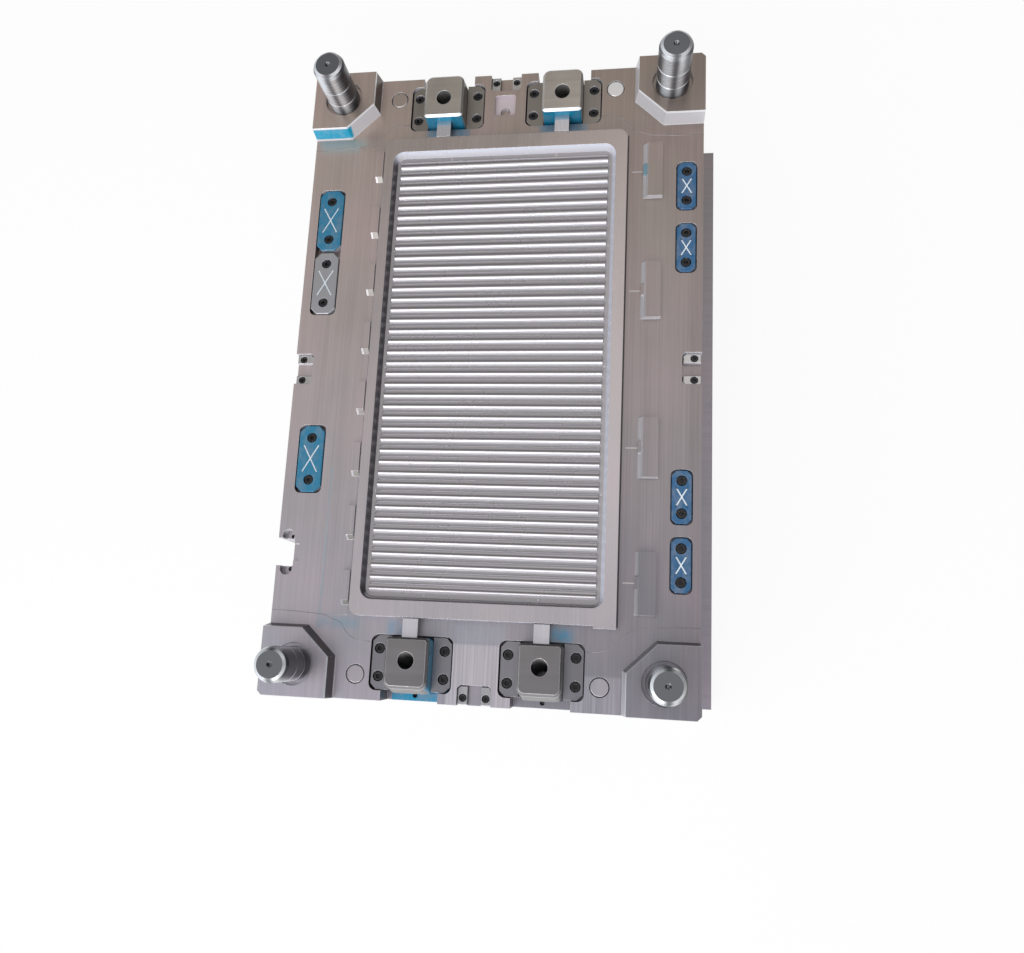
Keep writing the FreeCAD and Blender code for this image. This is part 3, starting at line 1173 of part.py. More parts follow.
def balance_block(name, x, y, width, length, pitch):
    """A balance block with cut corners, two counterbored holes and a crossed oil groove."""
    body = new_body(name)
    half_x, half_y, cut = width / 2, length / 2, S.block_cut * width / S.wide_block_width
    low = S.block_proud - S.block_thick
    outline = new_sketch(body, f"{name}_outline", lift=low)
    polygon(outline, [(cut - half_x, -half_y), (half_x - cut, -half_y), (half_x, cut - half_y),
                      (half_x, half_y - cut), (half_x - cut, half_y), (cut - half_x, half_y),
                      (-half_x, half_y - cut), (-half_x, cut - half_y)])
    block = pad(body, f"{name}_bar", outline, S.block_thick)
    top = [f"Face{i}" for i, face in enumerate(block.Shape.Faces, 1)
           if abs(face.CenterOfMass.z - S.block_proud.number) < 0.01]
    dress(body, "Chamfer", f"{name}_edge", block, top, Size(1))
    for kind, diameter, depth in (("hole", S.small_screw + 2 * S.screw_play, S.block_thick),
                                  ("seat", S.small_bore, S.small_head_thick + S.head_sink)):
        sketch = new_sketch(body, f"{name}_{kind}", lift=S.block_proud)
        for end in ENDS.values():
            circle(sketch, 0, end * pitch / 2, diameter)
        pocket(body, f"{name}_{kind}_cut", sketch, depth)
    across = width * 0.3
    along = pitch * 0.35 - S.oil_groove * 2
    length_of_arm = hypotenuse(across, along)
    side_x, side_y = S.oil_groove * along / length_of_arm, S.oil_groove * across / length_of_arm
    for arm, mirror in (("a", 1), ("b", -1)):
        sketch = new_sketch(body, f"{name}_groove_{arm}", lift=S.block_proud)
        polygon(sketch, [(mirror * px, py) for px, py in (
            (across - side_x, along + side_y), (-across - side_x, side_y - along),
            (side_x - across, -along - side_y), (across + side_x, along - side_y))])
        pocket(body, f"{name}_groove_{arm}_cut", sketch, S.oil_groove)
    node(place(body, x, y, PARTING), name)


def lock_plates():
    """Side lock plates at the middle of each edge, two to a lock, and the screws that hold them."""
    plate = new_body("lock_plate")
    outline = new_sketch(plate, "lock_plate_outline", lift=-S.lock_drop)
    cut = S.lock_cut
    polygon(outline, [(-S.lock_depth, S.lock_inner), (-1, S.lock_inner), (-1, S.lock_outer),
                      (cut - S.lock_depth, S.lock_outer), (-S.lock_depth, S.lock_outer - cut)])
    bar = pad(plate, "lock_plate_bar", outline, S.lock_thick, down=True)
    top = [f"Face{i}" for i, face in enumerate(bar.Shape.Faces, 1)
           if abs(face.CenterOfMass.z + S.lock_drop.number) < 0.01]
    dress(plate, "Chamfer", "lock_plate_edge", bar, top, Size(0.8))
    for kind, diameter, depth in (("hole", S.lock_screw + 2 * S.screw_play, S.lock_thick),
                                  ("seat", S.lock_bore, S.lock_head_thick + S.head_sink)):
        sketch = new_sketch(plate, f"lock_plate_{kind}", lift=-S.lock_drop)
        circle(sketch, -S.lock_screw_in, S.lock_screw_x, diameter)
        pocket(plate, f"lock_plate_{kind}_cut", sketch, depth)
    mirrored = DOC.addObject("Part::Mirroring", "lock_plate_mirrored")
    mirrored.Source = plate
    mirrored.Normal = Vector(0, 1, 0)
    screws = []
    for name, turn, reach in lock_frames():
        links = []
        for side, source in ((1, plate), (-1, mirrored)):
            link = DOC.addObject("App::Link", f"side_lock_{name}_{'a' if side > 0 else 'b'}")
            link.LinkedObject = source
            x, y = turned(turn, reach, Size(0))
            links.append(place(link, x, y, PARTING, turn))
            screws.append((*turned(turn, reach - S.lock_screw_in, side * S.lock_screw_x),
                           PARTING - S.lock_drop - S.lock_head_thick - S.head_sink))
        pair = DOC.addObject("Part::Compound", f"side_lock_{name}")
        pair.Links = links
        node(pair, f"side_lock_{name}")
    screw = cap_screw("lock_screw", S.lock_screw, S.lock_head, S.lock_head_thick,
                      S.lock_thick - S.lock_head_thick - S.head_sink + S.lock_grip)
    group("side_lock_screws", screw, screws)


def screws():
    """The screws of the gibs, balance blocks, ejector plates, insert, pillars and stack."""
    grip = S.small_head_thick + S.head_sink
    gib_screw = cap_screw("gib_screw", S.small_screw, S.small_head, S.small_head_thick,
                          S.gib_floor - S.gib_drop - grip + S.small_grip)
    group("gib_screws", gib_screw, [(slide_line(sx) + x, sy * y, PARTING - S.gib_drop - grip)
                                    for sx, sy in CORNERS.values() for x, y in gib_screw_spots()])
    block_screw = cap_screw("block_screw", S.small_screw, S.small_head, S.small_head_thick,
                            S.block_thick - grip + S.small_grip)
    group("wear_plate_screws", block_screw, [(x, y + end * pitch / 2, PARTING + S.block_proud - grip)
                                             for name, x, y, width, length, pitch in blocks()
                                             for end in ENDS.values()])
    below = [("ejector_plate_screws", EJECTOR_SCREWS, S.small_screw, S.small_head, S.small_head_thick,
              S.ejector_thick - grip + S.small_grip, EJECTOR_LOW),
             ("insert_screws", INSERT_SCREWS, S.mid_screw, S.mid_head, S.mid_head_thick,
              S.plate_thick - S.insert_seat - S.mid_head_thick - S.head_sink + S.mid_grip, STACK_TOP),
             ("support_pillar_screws", PILLARS, S.mid_screw, S.mid_head, S.mid_head_thick,
              S.clamp_thick - S.mid_head_thick - S.head_sink + S.mid_grip, Size(0)),
             ("stack_screws", STACK_SCREWS, S.large_screw, S.large_head, S.large_head_thick,
              STACK_TOP - S.large_head_thick - S.head_sink + S.large_grip, Size(0))]
    for label, spots, shank, head, thick, length, face in below:
        screw = cap_screw(f"{label}_master", shank, head, thick, length)
        flipped = DOC.addObject("App::Link", f"{label}_flipped")
        flipped.LinkedObject = screw
        copies = []
        for number, (x, y) in enumerate(spots, 1):
            copy = DOC.addObject("App::Link", f"{label}_{number}")
            copy.LinkedObject = screw
            copy.Placement = Placement(Vector(), Rotation(Vector(1, 0, 0), 180))
            for axis, size in zip("xyz", (x, y, face + thick + S.head_sink)):
                copy.setExpression(f".Placement.Base.{axis}", Size.of(size).text)
            copies.append(copy)
        whole = DOC.addObject("Part::Compound", label)
        whole.Links = copies
        node(whole, label)


def build():
    b_plate()
    core_insert()
    plates()
    guide_pins()
    pins_and_posts()
    return_springs()
    slide_units()
    for block in blocks():
        balance_block(*block)
    lock_plates()
    screws()
    DOC.recompute()


def check():
    """Stop unless every object recomputed and every node is a valid shape."""
    for thing in DOC.Objects:
        if {"Invalid", "Error"} & set(thing.State):
            raise ValueError(f"{thing.Label} failed: {thing.State}")
    for piece in NODES:
        if piece.Shape.isNull() or not piece.Shape.isValid():
            raise ValueError(f"{piece.Label} has no valid shape")


def write():
    os.makedirs("parts", exist_ok=True)
    for piece in NODES:
        piece.Shape.exportStep(os.path.join("parts", f"{piece.Label}.step"))
        print(piece.Label, len(piece.Shape.Solids), round(piece.Shape.Volume))


build()
check()
write()
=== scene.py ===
"""Looks of the moving half of an injection mould: finishes, fine fittings, light and camera.

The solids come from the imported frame.  This script gives every one of them a finish, adds the small
machined details and the wound return springs, and sets the light and the camera.
"""
import logging
import math
from dataclasses import dataclass
from enum import Enum
from typing import Sequence

import bpy
import numpy as np
from mathutils import Matrix, Vector


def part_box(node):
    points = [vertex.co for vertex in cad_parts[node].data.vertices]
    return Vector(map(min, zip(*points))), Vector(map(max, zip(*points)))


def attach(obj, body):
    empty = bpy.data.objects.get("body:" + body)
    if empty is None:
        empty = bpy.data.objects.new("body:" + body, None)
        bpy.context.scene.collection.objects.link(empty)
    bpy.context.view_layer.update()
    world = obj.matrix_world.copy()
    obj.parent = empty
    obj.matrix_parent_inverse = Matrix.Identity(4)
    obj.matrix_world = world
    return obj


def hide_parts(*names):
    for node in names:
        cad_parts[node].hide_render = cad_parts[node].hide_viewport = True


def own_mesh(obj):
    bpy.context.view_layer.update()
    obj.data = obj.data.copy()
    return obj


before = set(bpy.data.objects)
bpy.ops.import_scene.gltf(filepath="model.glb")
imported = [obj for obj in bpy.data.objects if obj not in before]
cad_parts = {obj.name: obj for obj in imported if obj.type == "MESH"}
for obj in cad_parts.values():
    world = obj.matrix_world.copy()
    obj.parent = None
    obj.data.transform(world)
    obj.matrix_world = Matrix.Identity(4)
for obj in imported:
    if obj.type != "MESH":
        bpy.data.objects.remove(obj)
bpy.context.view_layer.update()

MM = 0.001
LOG = logging.getLogger("mould")
Colour = tuple[float, float, float]
Point = tuple[float, float, float]
Span = tuple[float, float]


def srgb(red: int, green: int, blue: int) -> Colour:
    """Turn a display colour into linear light.

    Args:
        red: display red, 0 to 255.
        green: display green, 0 to 255.
        blue: display blue, 0 to 255.

    Returns:
        The linear colour: each channel c becomes ((c + 0.055) / 1.055) ** 2.4.
    """
    return tuple(((c / 255 + 0.055) / 1.055) ** 2.4 for c in (red, green, blue))


@dataclass(frozen=True)
class Places:
    """Where things are, read from the frame, in metres; the side locks lie below the parting face."""

    parting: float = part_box("side_lock_top")[1].z + 5 * MM
    half_width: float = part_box("b_plate")[1].x
    half_length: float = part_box("b_plate")[1].y
    insert_low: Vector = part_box("core_insert")[0]
    insert_high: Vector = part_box("core_insert")[1]
    slide_low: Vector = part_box("slide_body_top_right")[0]
    slide_high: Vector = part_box("slide_body_top_right")[1]

    @property
    def slide_x(self) -> float:
        """Distance of a slide's centre line from the middle."""
        return (self.slide_low.x + self.slide_high.x) / 2


PLACES = Places()
CORNERS = {f"{end}_{side}": (sx, sy) for end, sy in (("top", 1), ("bottom", -1))
           for side, sx in (("left", -1), ("right", 1))}


def region(x: Span, y: Span, z: Span) -> tuple[Point, Point]:
    """Give a box by its reach along each axis.

    Args:
        x: reach across the mould, in millimetres from its middle.
        y: reach along the mould, in millimetres from its middle.
        z: reach in height, in millimetres from the parting face.

    Returns:
        The box's low and high corners, in metres.
    """
    low, high = ((x[end] * MM, y[end] * MM, PLACES.parting + z[end] * MM) for end in (0, 1))
    return low, high


# ---------------------------------------------------------------- shader maths

class Field:
    """A value that varies over a surface.  Arithmetic on it adds the Math nodes."""

    def __init__(self, graph: "Graph", socket: bpy.types.NodeSocket) -> None:
        """Wrap a socket of a graph."""
        self.graph = graph
        self.socket = socket

    def _join(self, operation: str, *values: object, clamp: bool = False) -> "Field":
        """Add one Math node.

        Args:
            operation: the node's operation.
            values: its inputs, fields or numbers.
            clamp: whether the result is held between 0 and 1.

        Returns:
            The node's result.
        """
        inputs = {index: value for index, value in enumerate(values)}
        node = self.graph.node("ShaderNodeMath", {"operation": operation, "use_clamp": clamp}, inputs)
        return Field(self.graph, node.outputs[0])

    def __add__(self, other: object) -> "Field":
        """Sum."""
        return self._join("ADD", self, other)

    def __radd__(self, other: object) -> "Field":
        """Sum with the number first."""
        return self._join("ADD", other, self)

    def __sub__(self, other: object) -> "Field":
        """Difference."""
        return self._join("SUBTRACT", self, other)

    def __rsub__(self, other: object) -> "Field":
        """Difference with the number first."""
        return self._join("SUBTRACT", other, self)

    def __mul__(self, other: object) -> "Field":
        """Product."""
        return self._join("MULTIPLY", self, other)

    def __rmul__(self, other: object) -> "Field":
        """Product with the number first."""
        return self._join("MULTIPLY", other, self)

    def __pow__(self, other: object) -> "Field":
        """Power."""
        return self._join("POWER", self, other)

    def __rpow__(self, other: object) -> "Field":
        """Power of a number."""
        return self._join("POWER", other, self)

    def __abs__(self) -> "Field":
        """Size without sign."""
        return self._join("ABSOLUTE", self)

    def clamp(self) -> "Field":
        """Hold between 0 and 1."""
        return self._join("ADD", self, 0.0, clamp=True)

    def high(self, other: object) -> "Field":
        """The larger of two."""
        return self._join("MAXIMUM", self, other)

    def ramp(self, start: float, end: float) -> "Field":
        """Rise from 0 at start to 1 at end in a straight line, held outside.

        Args:
            start: value at which the result leaves 0.
            end: value at which it reaches 1.

        Returns:
            (value - start) / (end - start), held between 0 and 1.
        """
        return ((self - start) * (1.0 / (end - start))).clamp()


class Graph:
    """The node tree of a material or a world, filled by one method for every node."""

    near_edge: Span = (0.01, 0.16)

    def __init__(self, name: str, world: bool = False) -> None:
        """Start an empty tree.

        Args:
            name: name of the material or world that holds it.
            world: whether a world holds it.
        """
        self.holder = (bpy.data.worlds if world else bpy.data.materials).new(name)
        self.holder.use_nodes = True
        self.tree = self.holder.node_tree
        self.tree.nodes.clear()
        self._coordinates = None
        self._axes = {}
        self._facing = None

    def node(self, kind: str, settings: dict | None = None, inputs: dict | None = None) -> bpy.types.Node:
        """Add a node.

        Args:
            kind: the node's type.
            settings: its own settings, set before its sockets are touched; stops are a ramp's.
            inputs: socket name or number to a value, a field or a socket.

        Returns:
            The new node.
        """
        node = self.tree.nodes.new(kind)
        for key, value in (settings or {}).items():
            if key == "stops":
                self._set_stops(node.color_ramp, value)
            else:
                setattr(node, key, value)
        for key, value in (inputs or {}).items():
            socket = node.inputs[key]
            if isinstance(value, Field):
                value = value.socket
            if isinstance(value, bpy.types.NodeSocket):
                self.tree.links.new(value, socket)
            elif isinstance(value, tuple) and len(value) == 3 and socket.type == "RGBA":
                socket.default_value = (*value, 1.0)
            else:
                socket.default_value = value
        return node

    @staticmethod
    def _set_stops(ramp: bpy.types.ColorRamp, stops: Sequence[tuple[float, Colour]]) -> None:
        """Give a ramp its stops.

        Args:
            ramp: the ramp, with two stops of its own.
            stops: place and colour of each stop, in order.
        """
        while len(ramp.elements) < len(stops):
            ramp.elements.new(0.5)
        for element, (place, colour) in zip(ramp.elements, stops):
            element.position = place
            element.color = (*colour, 1.0)

    @property
    def place(self) -> bpy.types.NodeSocket:
        """The point of the surface.

        Returns:
            The socket of its Object coordinates, in metres.
        """
        if self._coordinates is None:
            self._coordinates = self.node("ShaderNodeTexCoord")
        return self._coordinates.outputs["Object"]

    def axes(self, mirrored: bool = False) -> tuple[Field, Field, Field]:
        """The point's three distances.

        Args:
            mirrored: whether x and y are taken without sign, for marks that repeat in every corner.

        Returns:
            The x, y and z fields.
        """
        if mirrored not in self._axes:
            if mirrored:
                x, y, z = self.axes()
                self._axes[True] = (abs(x), abs(y), z)
            else:
                parts = self.node("ShaderNodeSeparateXYZ", None, {0: self.place})
                self._axes[False] = tuple(Field(self, parts.outputs[k]) for k in range(3))
        return self._axes[mirrored]

    def facing(self) -> tuple[Field, Field, Field]:
        """Which way the surface looks.

        Returns:
            The x, y and z parts of its true normal.
        """
        if self._facing is None:
            plain = self.node("ShaderNodeNewGeometry")
            parts = self.node("ShaderNodeSeparateXYZ", None, {0: plain.outputs["True Normal"]})
            self._facing = tuple(Field(self, parts.outputs[k]) for k in range(3))
        return self._facing

    def grain(self, pitch: Point, detail: float = 3.0, rough: float = 0.55) -> Field:
        """Noise with its own size along each axis.

        Args:
            pitch: size of its features along x, y and z, in metres.
            detail: octaves.
            rough: weight of the finer octaves.

        Returns:
            A field round 0.5.
        """
        scaled = self.node("ShaderNodeMapping", None, {
            "Vector": self.place, "Scale": tuple(1 / size for size in pitch)})
        noise = self.node("ShaderNodeTexNoise", None, {
            "Vector": scaled.outputs[0], "Scale": 1.0, "Detail": detail, "Roughness": rough})
        return Field(self, noise.outputs["Fac"])

    def blend(self, factor: Field, first: object, second: object) -> bpy.types.NodeSocket:
        """Mix two colours.

        Args:
            factor: 0 gives the first, 1 the second.
            first: a colour or a colour socket.
            second: a colour or a colour socket.

        Returns:
            The mixed colour.
        """
        node = self.node("ShaderNodeMix", {"data_type": "RGBA"}, {0: factor, 6: first, 7: second})
        return node.outputs[2]

    def brighten(self, colour: object, gain: Field) -> bpy.types.NodeSocket:
        """Scale a colour by a field."""
        node = self.node("ShaderNodeVectorMath", {"operation": "SCALE"}, {0: colour, "Scale": gain})
        return node.outputs[0]

    def eased(self, radius: float) -> tuple[bpy.types.NodeSocket, Field]:
        """Normals rounded over the edges, and how near a point is to an edge.

        Args:
            radius: rounding radius in metres.

        Returns:
            The rounded normal, and a field that is 1 on an edge and 0 on a flat: one less the dot
            product of the rounded and the plain normal, raised in contrast.
        """
        bevel = self.node("ShaderNodeBevel", {"samples": 4}, {"Radius": radius})
        plain = self.node("ShaderNodeNewGeometry")
        dot = self.node("ShaderNodeVectorMath", {"operation": "DOT_PRODUCT"},
                        {0: bevel.outputs[0], 1: plain.outputs["Normal"]})
        return bevel.outputs[0], (1.0 - Field(self, dot.outputs["Value"])).ramp(*self.near_edge)

    def finish(self, sockets: dict) -> bpy.types.Material:
        """Close the tree with a Principled shader.

        Args:
            sockets: socket name to value or link.

        Returns:
            The material.
        """
        shader = self.node("ShaderNodeBsdfPrincipled", None, sockets)
        self.node("ShaderNodeOutputMaterial", None, {"Surface": shader.outputs[0]})
        return self.holder


# ---------------------------------------------------------------- finishes

class Marks(Enum):
    """Which way a finish's tool marks run, as the marks' own size along x, y and z."""

    ALONG = (1.0, 90.0, 90.0)
    ACROSS = (90.0, 1.0, 90.0)
    ROUND = (60.0, 60.0, 1.0)


class Side(Enum):
    """Which faces a patch lies on."""

    ANY = "any"
    UP = "up"
    WALL = "wall"


@dataclass(frozen=True)
class Patch:
    """A soft-edged box of another colour: spotting ink, a scratch, a polished floor, a painted highlight, a
    painted sheen or painted shade.
    """

    low: Point
    high: Point
    colour: Colour
    strength: float = 1.0
    soft: float = 5 * MM
    broken: float = 0.0
    side: Side = Side.ANY
    mirrored: bool = False
    streaked: float = 0.0
    level: Span = (0.75, 0.97)
    streak_range: Span = (0.38, 0.62)

    def cover(self, graph: Graph, fingers: Field, streaks: Field) -> Field:
        """How much of the patch's colour a point takes.

        Args:
            graph: the material's graph.
            fingers: wiping marks, 0 to 1.
            streaks: tool marks, round 0.5.

        Returns:
            The product over the axes of a rise inside the low side and a fall inside the high side,
            times the patch's strength, less where the wiping marks leave it bare.
        """
        cover = None
        for axis, low, high in zip(graph.axes(self.mirrored), self.low, self.high):
            soft = min(self.soft, 0.4 * (high - low))
            inside = axis.ramp(low, low + soft) * axis.ramp(high, high - soft)
            cover = inside if cover is None else cover * inside
        if self.side is not Side.ANY:
            up = graph.facing()[2].ramp(*self.level)
            cover = cover * (up if self.side is Side.UP else 1.0 - up)
        if self.broken:
            cover = cover * (1.0 - self.broken + fingers * self.broken)
        if self.streaked:
            cover = cover * (1.0 - self.streaked + streaks.ramp(*self.streak_range) * self.streaked)
        return cover * self.strength


@dataclass(frozen=True)
class Glint:
    """A painted band of light, or of shade when its colour is dark, along a round surface: strongest where
    the surface leans one way.
    """

    low: Point
    high: Point
    colour: Colour
    lean: float
    half: float
    fade: float = 0.3
    axis: int = 1
    falloff: float = 1.5
    border: float = 1 * MM
    fade_start: float = 100 * MM

    def cover(self, graph: Graph) -> Field:
        """How much of the band's colour a point takes.

        Args:
            graph: the material's graph.

        Returns:
            (1 - ((n - lean) / half) ** 2) ** falloff held above 0, n being the normal's part along
            the axis, inside the box, and weaker towards its right side.
        """
        x, _, z = graph.axes()
        (left, _, foot), (right, _, top) = self.low, self.high
        off = (graph.facing()[self.axis] - self.lean) * (1 / self.half)
        band = (1.0 - off * off).clamp() ** self.falloff
        inside = x.ramp(left, left + self.border) * x.ramp(right, right - self.border)
        inside = inside * z.ramp(foot, foot + 1.5 * self.border) * z.ramp(top, top - 0.5 * self.border)
        return band * inside * (1.0 - x.ramp(left + self.fade_start, right) * self.fade)


@dataclass(frozen=True)
class Steel:
    """Machined steel, its colour running from one end of the mould to the other."""

    name: str
    top: Colour
    bottom: Colour
    roughness: float = 0.34
    metallic: float = 0.8
    marks: Marks = Marks.ALONG
    mark_size: float = 1.1 * MM
    mark_depth: float = 0.10
    streak: float = 0.26
    band: float = 0.24
    mottle: float = 0.12
    tint: float = 0.16
    # painted sheen: how much the colour brightens towards one side of the mould
    across: float = 0.0
    # colours of the painted light on walls that look to the window and of the painted shade on those that
    # look away
    painted_wall_light: Colour = srgb(206, 206, 214)
    painted_wall_shade: Colour = srgb(84, 80, 80)
    wall: float = 0.85
    calm_below: float = -1.0
    wall_from: float = 0.55
    wall_to: float = 0.93
    dull: float = 0.8
    edge: float = 0.75
    edge_radius: float = 0.9 * MM
    patches: tuple[Patch, ...] = ()
    glints: tuple[Glint, ...] = ()
    cloud_size: Point = (90 * MM, 130 * MM, 90 * MM)
    finger_size: Point = (10 * MM, 16 * MM, 12 * MM)
    tint_colour: Colour = srgb(176, 142, 150)
    # colour of the worn edges and of the painted highlight on them
    worn_edge_highlight: Colour = srgb(238, 238, 240)
    lit_range: Span = (-0.7, 0.25)
    band_size: float = 9.0
    band_reach: float = 30.0

    def marks_of(self, graph: Graph, coarse: float = 1.0, longest: float = 90.0) -> Field:
        """Tool marks.

        Args:
            graph: the material's graph.
            coarse: how many times the finish's own mark size they are.
            longest: the most that a mark reaches, in mark sizes.

        Returns:
            A field round 0.5 that goes flat below the height at which the marks end.
        """
        pitch = tuple(self.mark_size * coarse * min(reach, longest) for reach in self.marks.value)
        marked = graph.axes()[2].ramp(self.calm_below - 1 * MM, self.calm_below)
        return 0.5 + (graph.grain(pitch, 2.0) - 0.5) * marked

    def material(self) -> bpy.types.Material:
        """Build the finish.

        Returns:
            A material whose colour runs along the mould, with a painted sheen across it, streaked by the
            tool, with painted light on walls that look to the window and painted shade on those that look
            away, worn and painted bright as a highlight on its edges, and covered by its patches.
        """
        graph = Graph(self.name)
        x, y, _ = graph.axes()
        end_to_end = y.ramp(-PLACES.half_length, PLACES.half_length)
        streaks, bands = self.marks_of(graph), self.marks_of(graph, self.band_size, self.band_reach)
        clouds = graph.grain(self.cloud_size, 4.0)
        colour = graph.blend(end_to_end, self.bottom, self.top)
        colour = graph.blend(clouds.ramp(0.40, 0.66) * self.tint, colour, self.tint_colour)
        # the across term is a painted sheen, brighter towards one side of the mould
        gain = (1.0 + (clouds - 0.5) * (2 * self.mottle) + (streaks - 0.5) * self.streak
                + (bands - 0.5) * self.band + x * (self.across / PLACES.half_width))
        colour = graph.brighten(colour, gain)
        roughness = self.roughness + (streaks - 0.5) * 0.12 + (clouds - 0.5) * 0.10
        to_x, to_y, to_z = graph.facing()
        upright = to_z.ramp(self.wall_to, self.wall_from) * self.wall
        # painted light and shade: walls that look to the window take the lit colour, walls that look away the
        # shaded one
        lit = (to_y * -1.0 - to_x * 0.7).ramp(*self.lit_range)
        colour = graph.blend(upright, colour, graph.blend(lit, self.painted_wall_shade, self.painted_wall_light))
        # edges: worn, and painted bright as a highlight
        normal, near_edge = graph.eased(self.edge_radius)
        colour = graph.blend((near_edge * self.edge).clamp(), colour, self.worn_edge_highlight)
        dull = upright * lit * self.dull
        fingers = graph.grain(self.finger_size, 5.0, 0.65).ramp(0.34, 0.56)
        for patch in self.patches:
            cover = patch.cover(graph, fingers, streaks).clamp()
            colour = graph.blend(cover, colour, patch.colour)
            dull = dull.high(cover * 0.6)
        # painted bands of highlight and shade
        for glint in self.glints:
            colour = graph.blend(glint.cover(graph), colour, glint.colour)
        bump = graph.node("ShaderNodeBump", None, {
            "Height": streaks + bands * 1.5, "Strength": self.mark_depth, "Distance": 0.3 * MM,
            "Normal": normal})
        return graph.finish({
            "Base Color": colour, "Roughness": roughness.clamp(), "Metallic": (1.0 - dull) * self.metallic,
            "Normal": bump.outputs[0]})


@dataclass(frozen=True)
class Coated:
    """A plain coated or painted surface with a fine grain."""

    name: str
    colour: Colour
    # edge colour: where the coat is worn, and a painted highlight on the edges
    wear_and_painted_light: Colour
    roughness: float = 0.4
    metallic: float = 0.3
    edge: float = 0.5
    speckle_size: float = 1.2 * MM
    edge_radius: float = 0.5 * MM

    def material(self) -> bpy.types.Material:
        """Build the finish.

        Returns:
            A material with fine mottling, and edges worn and painted bright as a highlight in the second
            colour.
        """
        graph = Graph(self.name)
        speckle = graph.grain((self.speckle_size,) * 3, 3.0)
        normal, near_edge = graph.eased(self.edge_radius)
        colour = graph.brighten(self.colour, 0.8 + speckle * 0.4)
        colour = graph.blend((near_edge * self.edge).clamp(), colour, self.wear_and_painted_light)
        bump = graph.node("ShaderNodeBump", None, {
            "Height": speckle, "Strength": 0.08, "Distance": 0.2 * MM, "Normal": normal})
        return graph.finish({"Base Color": colour, "Roughness": self.roughness + (speckle - 0.5) * 0.15,
                             "Metallic": self.metallic, "Normal": bump.outputs[0]})


# ---------------------------------------------------------------- meshes

def mesh_object(name: str, points: np.ndarray, faces: list, smooth: bool = True) -> bpy.types.Object:
    """Make a mesh object at the origin.

    Args:
        name: the piece's name.
        points: its corners, one row each, in metres.
        faces: tuples of corner numbers.
        smooth: whether its faces are shaded smooth.

    Returns:
        The new object, linked to the scene.
    """
    mesh = bpy.data.meshes.new(name)
    mesh.from_pydata(points.reshape(-1, 3).tolist(), [], faces)
    mesh.polygons.foreach_set("use_smooth", np.full(len(mesh.polygons), smooth))
    mesh.update()
    piece = bpy.data.objects.new(name, mesh)
    bpy.context.scene.collection.objects.link(piece)
    return piece


def tube_faces(rows: int, columns: int, first: int = 0, ring: bool = False) -> list:
    """Faces of a tube whose sections are closed loops.

    Args:
        rows: number of sections.
        columns: corners in a section.
        first: number of the tube's first corner.
        ring: whether the last section joins the first; otherwise both ends are capped.

    Returns:
        Quads between neighbouring sections, i to i + 1 and j to j + 1, and the two end caps.
    """
    i = np.arange(rows if ring else rows - 1)[:, None]
    j = np.arange(columns)[None, :]
    after, beside = (i + 1) % rows, (j + 1) % columns
    quads = np.stack(np.broadcast_arrays(
        i * columns + j, i * columns + beside, after * columns + beside, after * columns + j), -1)
    faces = [tuple(quad) for quad in (quads.reshape(-1, 4) + first).tolist()]
    if not ring:
        faces.append(tuple(range(first + columns - 1, first - 1, -1)))
        last = first + (rows - 1) * columns
        faces.append(tuple(range(last, last + columns)))
    return faces


def carry(path: np.ndarray, section: np.ndarray) -> np.ndarray:
    """Carry a section along a level path.

    Args:
        path: points of the path, one row each.
        section: corners of the section as (side, up) pairs, anticlockwise seen against the path's run.

    Returns:
        An array path x section x 3: each path point plus side times the level normal plus up times +Z.
    """
    run = np.gradient(path, axis=0)
    run /= np.linalg.norm(run, axis=1)[:, None]
    side = np.stack([run[:, 1], -run[:, 0], np.zeros(len(run))], 1)
    up = np.array([0.0, 0.0, 1.0])
    return path[:, None] + side[:, None] * section[None, :, :1] + up * section[None, :, 1:]


def dress(piece: bpy.types.Object, material: bpy.types.Material, body: str) -> None:
    """Give a new piece its finish and its place in the record.

    Args:
        piece: the new piece.
        material: its finish.
        body: the body that it rides on.
    """
    piece.data.materials.append(material)
    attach(piece, body)
    LOG.info("%s: %d faces, rides on %s", piece.name, len(piece.data.polygons), body)


def paint(nodes: Sequence[str], material: bpy.types.Material) -> None:
    """Give some of the frame's nodes a finish, through their objects' slots.

    Args:
        nodes: names of the nodes.
        material: their finish.
    """
    for name in nodes:
        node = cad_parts[name]
        if not node.material_slots:
            node.data.materials.append(material)
        for slot in node.material_slots:
            slot.material = material
    LOG.info("%s on %s", material.name, ", ".join(nodes))


# ---------------------------------------------------------------- sub-assemblies

INK = srgb(14, 138, 178)
INK_BRIGHT = srgb(24, 158, 196)
# painted highlight colour for bright edges and chamfers
PAINTED_HIGHLIGHT = srgb(240, 243, 248)
# near black painted shade, for the seam beside the insert and the shaded walls of the blocks
DEEP_SHADE = srgb(34, 32, 34)
ON_FACE = (-1, 1)
IN_WAY = (-40, 2)


